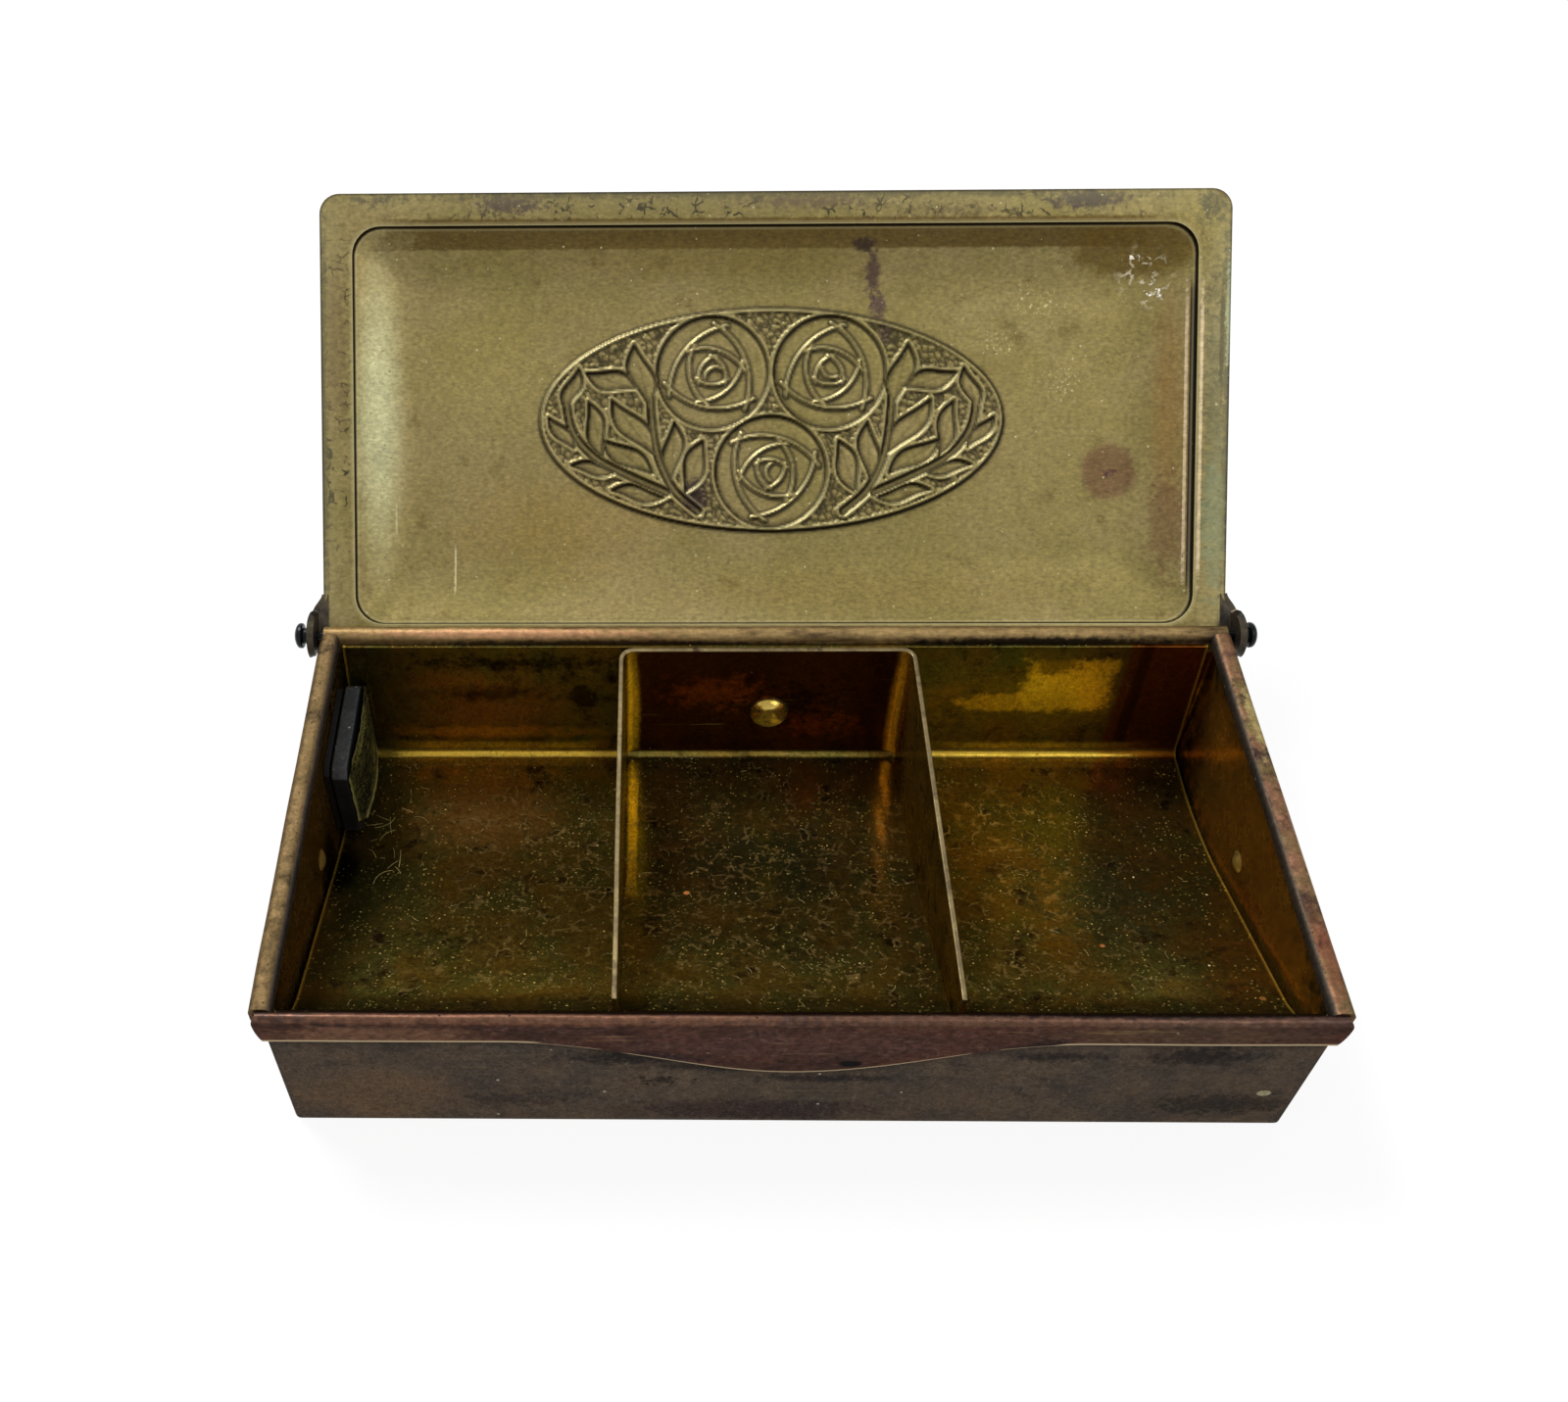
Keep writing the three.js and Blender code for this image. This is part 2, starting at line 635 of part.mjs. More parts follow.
// Ear: the flange's edge curves out past the rim, and a plate drops from it, round about the hinge
function lidEar(side) {
  const front = -earRadius - earFlare;
  const plate = new THREE.Shape();
  plate.moveTo(front, lidUnder + lidSheet);
  plate.lineTo(front, lidUnder);
  plate.lineTo(-earRadius - earShoulder, lidUnder);
  plate.quadraticCurveTo(-earRadius, lidUnder, -earRadius, 0);
  plate.absarc(0, 0, earRadius, Math.PI, 2 * Math.PI);
  plate.lineTo(earRadius, lidUnder / 2);
  plate.lineTo(lidRear, lidUnder + lidSheet);

  const edgeX = rimLength / 2;
  const middleX = (earInnerX + earOuterX) / 2;
  const curve = new THREE.CubicBezierCurve(
    new THREE.Vector2(side * (edgeX - earSheet / 2), front),
    new THREE.Vector2(side * (edgeX - earSheet / 2), front + earFlare / 2),
    new THREE.Vector2(side * middleX, -earRadius - earFlare / 2),
    new THREE.Vector2(side * middleX, -earRadius)
  );
  const line = [...curve.getPoints(roundSides / 2), new THREE.Vector2(side * middleX, earRadius)];
  const bent = alongZ(sheetShape(line, earSheet), -earRadius, lidUnder + lidSheet);
  const web = new THREE.Shape([
    ...line.slice(0, -1),
    new THREE.Vector2(side * middleX, lidRear),
    new THREE.Vector2(side * (edgeX - lidSheet), lidRear),
    new THREE.Vector2(side * (edgeX - lidSheet), front),
  ]);
  const bridge = alongZ(web, lidUnder, lidUnder + lidSheet);
  const holeX = side * earInnerX;
  const hole = rodAlongX(rodRadius + earFit, holeX - 2 * earSheet, holeX + 2 * earSheet, 0, 0);
  return bent.intersect(alongX(plate, -rimLength, rimLength)).add(bridge).subtract(hole);
}

function lidBlank() {
  const plate = roundedRectangle(-rimLength / 2, -lidFront, rimLength / 2, lidRear, lidCorner);
  const rearCorners = new THREE.Shape([
    new THREE.Vector2(-rimLength / 2, lidRear - lidCorner),
    new THREE.Vector2(rimLength / 2, lidRear - lidCorner),
    new THREE.Vector2(rimLength / 2, lidRear),
    new THREE.Vector2(-rimLength / 2, lidRear),
  ]);
  const flange = unite([
    alongZ(plate, lidUnder, lidUnder + lidSheet, 6),
    alongZ(rearCorners, lidUnder, lidUnder + lidSheet),
    lidEar(1),
    lidEar(-1),
  ]);
  const outside = panelBlock(lidSheet, lidUnder + lidSheet / 2);
  const inside = panelBlock(0, lidUnder - lidSheet);
  return flange.add(outside).subtract(inside);
}

// Places in the relief: x along the lid and y away from the hinge, from the oval's middle
function onPanel(x, y) {
  return new THREE.Vector2(x, -ovalFromHinge - y);
}

function roundMotif(x, y, halfLength, halfHeight, steps) {
  return new THREE.Shape(
    arcPoints(0, 0, 1, 0, 2 * Math.PI, steps)
      .slice(1)
      .map((p) => onPanel(x + halfLength * p.x, y + halfHeight * p.y))
  );
}

const roses = [
  { x: -roseSpread, y: roseLift, turn: 20 },
  { x: roseSpread, y: roseLift, turn: 140 },
  { x: 0, y: -roseDrop, turn: 75 },
];

// Petals: each ring is of arcs that bulge outwards and cross at their ends
function petalLines({ x, y, turn }) {
  return petalRings.flatMap((ring) =>
    Array.from({ length: ring.count }, (_, i) => {
      const facing = THREE.MathUtils.degToRad(turn + ring.turn + (360 * i) / ring.count);
      const half = THREE.MathUtils.degToRad(ring.sweep / 2);
      const centreX = x + ring.offset * roseRadius * Math.cos(facing);
      const centreY = y + ring.offset * roseRadius * Math.sin(facing);
      const radius = ring.radius * roseRadius;
      const arc = arcPoints(centreX, centreY, radius, facing - half, facing + half, petalSteps);
      return arc.map((p) => onPanel(p.x, p.y));
    })
  );
}

function stemShape(points, side) {
  const curve = new THREE.SplineCurve(points.map(([x, y]) => onPanel(side * x, y)));
  return sheetShape(curve.getPoints(stemSteps), stemWidth);
}

// Leaf: it swells from its foot and is drawn out to its tip, bent one way and then the other
function leafShape({ foot, tip, half, bow }, side) {
  const start = new THREE.Vector2(side * foot[0], foot[1]);
  const run = new THREE.Vector2(side * tip[0], tip[1]).sub(start);
  const across = new THREE.Vector2(-run.y, run.x).normalize();
  const edge = (sign) =>
    Array.from({ length: leafSteps }, (_, i) => {
      const t = (i + 1) / (leafSteps + 1);
      const bend = side * bow * Math.sin(2 * Math.PI * t);
      const swell = sign * half * Math.sin(Math.PI * t);
      return start.clone().addScaledVector(run, t).addScaledVector(across, bend + swell);
    });
  const outline = [start, ...edge(1), start.clone().add(run), ...edge(-1).reverse()];
  return new THREE.Shape(outline.map((p) => onPanel(p.x, p.y)));
}

// The relief between two heights: the oval's ground without its motifs, and the petals' ridges
function reliefGround(fromZ, toZ) {
  const raise = (shape) => alongZ(shape, fromZ, toZ);
  const motifs = roses.map(({ x, y }) => roundMotif(x, y, roseRadius, roseRadius, roseSteps));
  [1, -1].forEach((side) => {
    motifs.push(...sprayStems.map((stem) => stemShape(stem, side)));
    motifs.push(...sprayLeaves.map((leaf) => leafShape(leaf, side)));
  });
  const oval = roundMotif(0, 0, ovalHalfLength, ovalHalfHeight, ovalSteps);
  return raise(oval).subtract(wasm.Manifold.union(motifs.map(raise)));
}

function reliefPetals(fromZ, toZ) {
  const raise = (line) => alongZ(sheetShape(line, petalWidth), fromZ, toZ);
  return wasm.Manifold.union(roses.flatMap(petalLines).map(raise));
}

// Lid: the pressed blank with its relief raised inside and sunk outside
function lid() {
  const insideZ = lidUnder + stepRise + cushionRise;
  const outsideZ = insideZ + lidSheet;
  const embedded = insideZ + lidSheet / 3;
  return lidBlank()
    .add(reliefGround(insideZ - groundRise, embedded))
    .add(reliefPetals(insideZ - petalRise, embedded))
    .subtract(reliefGround(outsideZ - grooveDepth, outsideZ + lidSheet))
    .subtract(reliefPetals(outsideZ - grooveDepth, outsideZ + lidSheet));
}

// Pad: backing, block and frayed facing, side by side on the left wall
const padLowY = trayBackY - padFromBack - padLength;
const padLowZ = trayFloorZ + padFloorGap;

function padSide(length, height, chamfer) {
  const middleY = padLowY + padLength / 2;
  const lowY = middleY - length / 2;
  const highY = middleY + length / 2;
  const highZ = padLowZ + height;
  return new THREE.Shape([
    new THREE.Vector2(lowY + chamfer, padLowZ),
    new THREE.Vector2(highY - chamfer, padLowZ),
    new THREE.Vector2(highY, padLowZ + chamfer),
    new THREE.Vector2(highY, highZ - chamfer / 2),
    new THREE.Vector2(highY - chamfer / 2, highZ),
    new THREE.Vector2(lowY + chamfer / 2, highZ),
    new THREE.Vector2(lowY, highZ - chamfer / 2),
    new THREE.Vector2(lowY, padLowZ + chamfer),
  ]);
}

const backingX = -wallInnerX + sheetFit;
const blockX = backingX + padBacking + padSlot;
const facingX = blockX + padThick + sheetFit;

function padFacing() {
  const middleY = padLowY + padLength / 2;
  const half = padLength / 2;
  const outer = new THREE.Shape();
  outer.moveTo(facingX, middleY - half);
  outer.quadraticCurveTo(facingX + facingThick + 2 * facingBulge, middleY, facingX, middleY + half);
  const blank = alongZ(outer, padLowZ, padLowZ + padHeight, roundSides / 2);
  const reach = facingThick + 2 * facingBulge;
  return blank.intersect(alongX(padSide(padLength, padHeight, padChamfer), facingX - reach, facingX + reach));
}

// Assembly
const box = new THREE.Group();
box.add(named('case_body', caseBody(), brassCase));
box.add(named('liner_tray', linerTray(), brassInside));
box.add(named('partition_strip', partitionStrip(), brassInside));
box.add(named('partition_rivet', partitionRivet(), brassInside));
box.add(named('hinge_rod', hingeRod(), blackSteel));
box.add(named('hinge_head_left', hingeHead(-1), blackSteel));
box.add(named('hinge_head_right', hingeHead(1), blackSteel));

const backing = padSide(padLength - padBackingInset, padHeight, padChamfer);
const block = padSide(padLength, padHeight, padChamfer);
box.add(named('pad_backing', alongX(backing, backingX, backingX + padBacking), blackRubber));
box.add(named('pad_block', alongX(block, blockX, blockX + padThick), blackRubber));
box.add(named('pad_facing', padFacing(), oliveFelt));

const lidGroup = new THREE.Group();
lidGroup.position.set(0, hingeY, hingeZ);
lidGroup.rotation.x = -openAngle;
lidGroup.add(named('lid', lid(), brassLid));
box.add(lidGroup);

export default box;
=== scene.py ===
"""Looks of a small stamp box of thin pressed brass, its lid standing open.

Sizes are written in millimetres and turned to metres by MM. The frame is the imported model's:
+X to the right, +Y towards the hinge, +Z up, the origin at the centre of the underside.
"""

import logging
import math
import random
from dataclasses import dataclass, field, replace
from enum import Enum
from typing import Callable, Iterable, Sequence

import bmesh
import bpy
import numpy as np
from mathutils import Matrix, Vector, noise

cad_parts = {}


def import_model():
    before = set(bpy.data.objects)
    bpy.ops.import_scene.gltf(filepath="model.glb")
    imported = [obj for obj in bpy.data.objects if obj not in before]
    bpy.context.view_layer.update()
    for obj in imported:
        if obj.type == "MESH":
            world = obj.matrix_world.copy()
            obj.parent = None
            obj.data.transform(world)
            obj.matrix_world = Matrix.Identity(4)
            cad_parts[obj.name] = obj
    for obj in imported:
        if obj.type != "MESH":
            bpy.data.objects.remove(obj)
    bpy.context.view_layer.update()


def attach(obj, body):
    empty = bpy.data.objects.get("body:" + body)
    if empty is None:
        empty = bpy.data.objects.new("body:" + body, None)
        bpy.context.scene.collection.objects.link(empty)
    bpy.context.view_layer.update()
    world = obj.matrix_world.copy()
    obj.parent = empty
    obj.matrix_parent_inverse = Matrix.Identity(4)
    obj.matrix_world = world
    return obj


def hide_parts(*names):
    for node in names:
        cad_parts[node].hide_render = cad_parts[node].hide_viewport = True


MM = 0.001
SHARP_ANGLE = 38.0
# Grain of the metal in millimetres, drawn as coarse as it needs to show
FINEST_GRAIN = 0.34
# How far scratches are drawn out along each axis
SCRATCH_RUN = (40.0, 1.0, 1.0)
LOG = logging.getLogger("stamp_box")

Point = tuple[float, float]
Triple = tuple[float, float, float]
Tone = str
Tree, Socket, Material = bpy.types.NodeTree, bpy.types.NodeSocket, bpy.types.Material
Shape, Face = bmesh.types.BMesh, bmesh.types.BMFace
Vert, Edge = bmesh.types.BMVert, bmesh.types.BMEdge


class Body(Enum):
    """The bodies of the frame that pieces ride on."""

    CASE = "case"
    LID = "lid"


class Slot(Enum):
    """The record's material slots."""

    CASE = "brass_case"
    INSIDE = "brass_inside"
    LID = "brass_lid"
    STEEL = "black_steel"
    RUBBER = "black_rubber"
    FELT = "olive_felt"


def placed(name: str, data: bpy.types.ID) -> bpy.types.Object:
    """Adds an object with its data to the scene."""
    thing = bpy.data.objects.new(name, data)
    bpy.context.scene.collection.objects.link(thing)
    return thing


def empty_tree(owner: bpy.types.ID) -> Tree:
    """The node tree of a material or world, emptied."""
    owner.use_nodes = True
    owner.node_tree.nodes.clear()
    return owner.node_tree


def linear(tone: Tone) -> tuple[float, float, float, float]:
    """Turns an sRGB hex colour, such as "8d7e50", to linear red, green, blue and a full alpha."""
    parts = [int(tone[i : i + 2], 16) / 255 for i in (0, 2, 4)]
    out = [c / 12.92 if c <= 0.04045 else ((c + 0.055) / 1.055) ** 2.4 for c in parts]
    return (*out, 1.0)


def add(tree: Tree, kind: str, **given) -> bpy.types.Node:
    """Adds a shader node with its settings, values and links.

    Args:
        tree: The node tree.
        kind: The node's type name without "ShaderNode".
        given: Properties of the node in small letters, and its inputs by name or by index (as
            i0, i1), each with a value or with a socket to link from.

    Returns:
        The new node.
    """
    node = tree.nodes.new("ShaderNode" + kind)
    for key, value in given.items():
        if key.islower() and not key[1:].isdigit():
            setattr(node, key, value)
            continue
        socket = node.inputs[int(key[1:]) if key[1:].isdigit() else key.replace("_", " ")]
        if isinstance(value, Socket):
            tree.links.new(value, socket)
        else:
            socket.default_value = value
    return node


def ramp(tree: Tree, source: Socket, low: float, high: float) -> Socket:
    """Spreads the values from low to high over 0 to 1, smoothly.

    Args:
        tree: The node tree.
        source: The value to spread.
        low: What becomes 0.
        high: What becomes 1.

    Returns:
        The spread value's socket.
    """
    span = {"From_Min": low, "From_Max": high}
    return add(tree, "MapRange", interpolation_type="SMOOTHSTEP", Value=source, **span).outputs["Result"]


@dataclass(frozen=True)
class StainAndLight:
    """A mark at a place on the object; marks are stains, and patches of painted light and shade.

    Args:
        place: Its centre in millimetres, in the frame.
        reach: How far it spreads from there along each axis, in millimetres.
        tone: Its colour.
        strength: How much of the tone covers the metal.
        soft: Share of the reach over which it fades.
        ragged: How uneven its outline is.
        grit: Size in millimetres of the lumps in its outline.
        sparse: How far it is broken up into flecks, 0 for a closed mark.
        square: Whether it is a block rather than round.
        web: Whether it shows only as thin crooked lines.
    """

    place: Triple
    reach: Triple
    tone: Tone
    strength: float = 0.6
    soft: float = 0.6
    ragged: float = 0.9
    grit: float = 1.0
    sparse: float = 0.0
    square: bool = False
    web: bool = False


@dataclass(frozen=True)
class Block(StainAndLight):
    """A mark, stain and painted light alike, that is a block rather than round."""

    square: bool = True


@dataclass(frozen=True)
class Web(Block):
    """A block of thin crooked lines."""

    grit: float = 2.2
    web: bool = True


@dataclass(frozen=True)
class Dust:
    """Round grains scattered over a surface.

    Args:
        cell: Mean distance between possible grains in millimetres.
        size: A grain's radius as a share of the cell.
        cover: Share of the cells that hold a grain.
        tone: Colour of the grains.
        settled: Whether they lie only on faces that look up.
    """

    cell: float
    size: float
    cover: float
    tone: Tone
    settled: bool = False


@dataclass(frozen=True)
class Finish:
    """A surface with two clouded tones, dark blotches, fine mottling, stains, patches of painted light and
    shade, and dust.

    Args:
        name: The material and its finish in plain words.
        tones: Main tone, second tone and blotch tone.
        cloud: Size in mm of the clouds between main and second tone.
        blotch: Size in mm of the dark blotches.
        cover: Share of the surface that the blotches take.
        mottle: Size in mm of the fine mottling.
        depth: How much the mottling lightens and darkens.
        grain: Strength of the finest grain.
        brush: How far the finest grain is drawn out along X.
        dents: Depth in mm of shallow dents that break up the reflections.
        run: How much the clouds and blotches are drawn out along each axis.
        hairlines: How strongly fine scratches along X show.
        metallic: Share of metal in the look.
        roughness: Lowest and highest roughness.
        bump: Depth in mm of the fine unevenness.
        specular: Strength of the reflection of what isn't metal.
        edge: Tint of the metal's reflection at a glancing angle.
        stains_and_light: Stains, and patches of painted light and shade, at given places.
        dust: Layers of dust.
        grime_and_shade: Tone of the painted shade, and of the grime, in the hollows of a mesh that has the
            attribute for them.
        wear_and_highlight: Tone of the wear, and of the painted highlights, on the heights of a mesh that has
            the attribute for them.
        one_sided: Whether the stains and patches of painted light keep to the faces that a mesh marks as
            inner ones.
        turn: Degrees about X by which the places of the pattern are turned to fit the piece.
        pivot: Where the turned pattern has its origin, in millimetres.
    """

    name: str
    tones: tuple[Tone, Tone, Tone]
    cloud: float = 14.0
    blotch: float = 9.0
    cover: float = 0.3
    mottle: float = 0.7
    depth: float = 0.1
    grain: float = 0.1
    brush: float = 1.0
    dents: float = 0.0
    run: Triple = (1.0, 1.0, 1.0)
    hairlines: float = 0.0
    metallic: float = 0.85
    roughness: tuple[float, float] = (0.35, 0.5)
    bump: float = 0.02
    specular: float = 0.5
    edge: Tone = "ffffff"
    stains_and_light: tuple[StainAndLight, ...] = ()
    dust: tuple[Dust, ...] = ()
    grime_and_shade: Tone = ""
    wear_and_highlight: Tone = ""
    one_sided: bool = False
    turn: float = 0.0
    pivot: Triple = (0.0, 0.0, 0.0)

    @staticmethod
    def noise_at(tree: Tree, coord: Socket, size: float, detail: float) -> Socket:
        """Noise whose lumps are about size mm across."""
        scale = 1 / (size * MM)
        return add(tree, "TexNoise", Vector=coord, Scale=scale, Detail=detail, Roughness=0.62).outputs["Fac"]

    @staticmethod
    def lay(tree: Tree, share, below, above) -> Socket:
        """Lays one colour over another by a share and gives the colour socket."""
        return add(tree, "Mix", data_type="RGBA", i0=share, i6=below, i7=above).outputs[2]

    @staticmethod
    def spread(tree: Tree, noise_value: Socket, low: float, high: float) -> Socket:
        """Spreads the middle of a noise, where most of its values lie, from low to high."""
        most = {"From_Min": 0.3, "From_Max": 0.7}
        return add(tree, "MapRange", Value=noise_value, **most, To_Min=low, To_Max=high).outputs[0]

    @classmethod
    def hair_lines(cls, tree: Tree, coord: Socket) -> Socket:
        """Thin crooked lines about 2 mm apart that often break off, such as scratches and cracks."""
        drift = add(tree, "TexNoise", Vector=coord, Scale=1 / (1.4 * MM), Detail=3.0).outputs["Color"]
        reach = (1.4 * MM,) * 3
        bent = add(tree, "VectorMath", operation="MULTIPLY_ADD", i0=drift, i1=reach, i2=coord).outputs[0]
        cells = add(tree, "TexVoronoi", feature="DISTANCE_TO_EDGE", Vector=bent, Scale=1 / (1.7 * MM))
        line = ramp(tree, cells.outputs["Distance"], 0.11, 0.03)
        broken = ramp(tree, cls.noise_at(tree, coord, 1.8, 3.0), 0.5, 0.58)
        return add(tree, "Math", operation="MULTIPLY", i0=line, i1=broken).outputs[0]

    def stained_and_lit(self, tree: Tree, coord: Socket, colour: Socket) -> Socket:
        """Lays the stains and the patches of painted light and shade over a colour.

        Args:
            tree: The node tree.
            coord: Object coordinates.
            colour: The colour below them.

        Returns:
            The colour with them laid over.
        """
        sizes = dict.fromkeys(stain_and_light.grit for stain_and_light in self.stains_and_light)
        lumps = {grit: self.noise_at(tree, coord, grit, 8.0) for grit in sizes}
        lines = self.hair_lines(tree, coord) if any(stain_and_light.web for stain_and_light in self.stains_and_light) else None
        for stain_and_light in self.stains_and_light:
            place = [v * MM for v in stain_and_light.place]
            size = [v * MM for v in stain_and_light.reach]
            away = add(tree, "VectorMath", operation="SUBTRACT", i0=coord, i1=place).outputs[0]
            share = add(tree, "VectorMath", operation="DIVIDE", i0=away, i1=size).outputs[0]
            distance = add(tree, "VectorMath", operation="LENGTH", i0=share).outputs["Value"]
            if stain_and_light.square:
                parts = add(tree, "VectorMath", operation="ABSOLUTE", i0=share).outputs[0]
                parts = add(tree, "SeparateXYZ", Vector=parts).outputs
                distance = add(tree, "Math", operation="MAXIMUM", i0=parts[0], i1=parts[1]).outputs[0]
                distance = add(tree, "Math", operation="MAXIMUM", i0=distance, i1=parts[2]).outputs[0]
            outline = {"i0": lumps[stain_and_light.grit], "i1": stain_and_light.ragged, "i2": distance}
            uneven = add(tree, "Math", operation="MULTIPLY_ADD", **outline).outputs[0]
            edge = 1 + stain_and_light.ragged / 2 - stain_and_light.sparse
            inside = ramp(tree, uneven, edge, edge - stain_and_light.soft)
            cover = add(tree, "Math", operation="MULTIPLY", i0=inside, i1=stain_and_light.strength).outputs[0]
            if stain_and_light.web:
                cover = add(tree, "Math", operation="MULTIPLY", i0=cover, i1=lines).outputs[0]
            colour = self.lay(tree, cover, colour, linear(stain_and_light.tone))
        return colour

    def dusted(self, tree: Tree, coord: Socket, colour: Socket) -> tuple:
        """Scatters the layers of dust over a colour.

        Args:
            tree: The node tree.
            coord: Object coordinates.
            colour: The colour below the dust.

        Returns:
            The dusted colour, and the share of the surface that is still bare metal.
        """
        bare: float | Socket = 1.0
        patches = ramp(tree, self.noise_at(tree, coord, 6.0, 4.0), 0.36, 0.62)
        normal = add(tree, "TexCoord").outputs["Normal"]
        up = ramp(tree, add(tree, "SeparateXYZ", Vector=normal).outputs[2], 0.3, 0.8)
        for layer in self.dust:
            cells = add(tree, "TexVoronoi", Vector=coord, Scale=1 / (layer.cell * MM))
            near = ramp(tree, cells.outputs["Distance"], layer.size, layer.size * 0.6)
            draw = add(tree, "SeparateColor", i0=cells.outputs["Color"])
            often = add(tree, "Math", operation="MULTIPLY", i0=patches, i1=1.5 * layer.cover).outputs[0]
            held = add(tree, "Math", operation="LESS_THAN", i0=draw.outputs[0], i1=often).outputs[0]
            if layer.settled:
                held = add(tree, "Math", operation="MULTIPLY", i0=held, i1=up).outputs[0]
            pale = add(tree, "MapRange", Value=draw.outputs[1], To_Min=0.25, To_Max=0.95).outputs[0]
            grain = add(tree, "Math", operation="MULTIPLY", i0=near, i1=held).outputs[0]
            grain = add(tree, "Math", operation="MULTIPLY", i0=grain, i1=pale).outputs[0]
            colour = self.lay(tree, grain, colour, linear(layer.tone))
            clear = add(tree, "Math", operation="SUBTRACT", i0=1.0, i1=grain).outputs[0]
            bare = add(tree, "Math", operation="MULTIPLY", i0=clear, i1=bare).outputs[0]
        return colour, bare

    def build(self) -> Material:
        """Builds the material."""
        material = bpy.data.materials.new(self.name)
        tree = empty_tree(material)
        coord = add(tree, "TexCoord").outputs["Object"]
        if self.turn:
            start = [v * MM for v in self.pivot]
            coord = add(tree, "VectorMath", operation="SUBTRACT", i0=coord, i1=start).outputs[0]
            turn = {"rotation_type": "X_AXIS", "Angle": math.radians(self.turn)}
            coord = add(tree, "VectorRotate", Vector=coord, **turn).outputs[0]
        drawn = add(tree, "VectorMath", operation="DIVIDE", i0=coord, i1=self.run).outputs[0]
        clouds = ramp(tree, self.noise_at(tree, drawn, self.cloud, 5.0), 0.36, 0.64)
        colour = self.lay(tree, clouds, linear(self.tones[0]), linear(self.tones[1]))
        blotches = self.noise_at(tree, drawn, self.blotch, 12.0)
        low = 0.66 - self.cover * 0.4
        dark = ramp(tree, blotches, low, low + 0.2)
        colour = self.lay(tree, dark, colour, linear(self.tones[2]))
        mottle = self.noise_at(tree, coord, self.mottle, 4.0)
        shade = self.spread(tree, mottle, 1 - self.depth, 1 + self.depth)
        brushed = add(tree, "VectorMath", operation="DIVIDE", i0=coord, i1=(self.brush, 1.0, 1.0)).outputs[0]
        fine = self.noise_at(tree, brushed, FINEST_GRAIN, 4.0)
        grain = self.spread(tree, fine, 1 - self.grain, 1 + self.grain)
        shade = add(tree, "Math", operation="MULTIPLY", i0=shade, i1=grain).outputs[0]
        stained_and_lit = self.stained_and_lit(tree, coord, colour)
        if self.one_sided:
            shown = add(tree, "Attribute", attribute_name="inner").outputs["Fac"]
            stained_and_lit = self.lay(tree, shown, colour, stained_and_lit)
        colour = stained_and_lit
        colour = add(tree, "VectorMath", operation="SCALE", i0=colour, Scale=shade).outputs[0]
        if self.hairlines:
            fine = add(tree, "VectorMath", operation="DIVIDE", i0=coord, i1=SCRATCH_RUN).outputs[0]
            line = ramp(tree, self.noise_at(tree, fine, 0.5, 2.0), 0.62, 0.74)
            broken = ramp(tree, self.noise_at(tree, coord, 9.0, 2.0), 0.5, 0.66)
            lines = add(tree, "Math", operation="MULTIPLY", i0=line, i1=broken).outputs[0]
            lines = add(tree, "Math", operation="MULTIPLY", i0=lines, i1=self.hairlines).outputs[0]
            colour = self.lay(tree, lines, colour, linear("c0a870"))
        colour, clean = self.dusted(tree, coord, colour)
        # Painted shade and grime in the hollows, then wear and painted highlights on the heights
        for name, tone in (("hollow", self.grime_and_shade), ("wear_and_highlight", self.wear_and_highlight)):
            if tone:
                share = add(tree, "Attribute", attribute_name=name).outputs["Fac"]
                colour = self.lay(tree, share, colour, linear(tone))
                if name == "wear_and_highlight":
                    dull = add(tree, "MapRange", Value=share, To_Min=1.0, To_Max=0.55).outputs[0]
                    clean = add(tree, "Math", operation="MULTIPLY", i0=clean, i1=dull).outputs[0]
        rough = self.spread(tree, blotches, *self.roughness)
        bump = add(tree, "Bump", Strength=0.6, Distance=self.bump * MM, Height=mottle).outputs["Normal"]
        if self.dents:
            broad = self.noise_at(tree, coord, 6.0, 2.0)
            bump = add(tree, "Bump", Distance=self.dents * MM, Height=broad, Normal=bump).outputs["Normal"]
        metal = add(tree, "Math", operation="MULTIPLY", i0=clean, i1=self.metallic).outputs[0]
        shader = add(tree, "BsdfPrincipled", Base_Color=colour, Metallic=metal, Roughness=rough, Normal=bump)
        shader.inputs["Specular IOR Level"].default_value = self.specular
        shader.inputs["Specular Tint"].default_value = linear(self.edge)
        add(tree, "OutputMaterial", Surface=shader.outputs[0])
        return material


# A cut or rubbed edge, where the bare metal catches the light as a pale line
BARE_EDGE = Finish(
    name="bare brass on a rubbed edge",
    tones=("9c8a64", "84704c", "4c3e2a"),
    cloud=5, blotch=3, cover=0.35, depth=0.2, roughness=(0.25, 0.4),
)


def arc(centre: Point, radius: float, start: float, end: float, steps: int) -> list[Point]:
    """Points on a circle's arc, angles in degrees."""
    angles = [math.radians(start + (end - start) * i / steps) for i in range(steps + 1)]
    return [(centre[0] + radius * math.cos(a), centre[1] + radius * math.sin(a)) for a in angles]


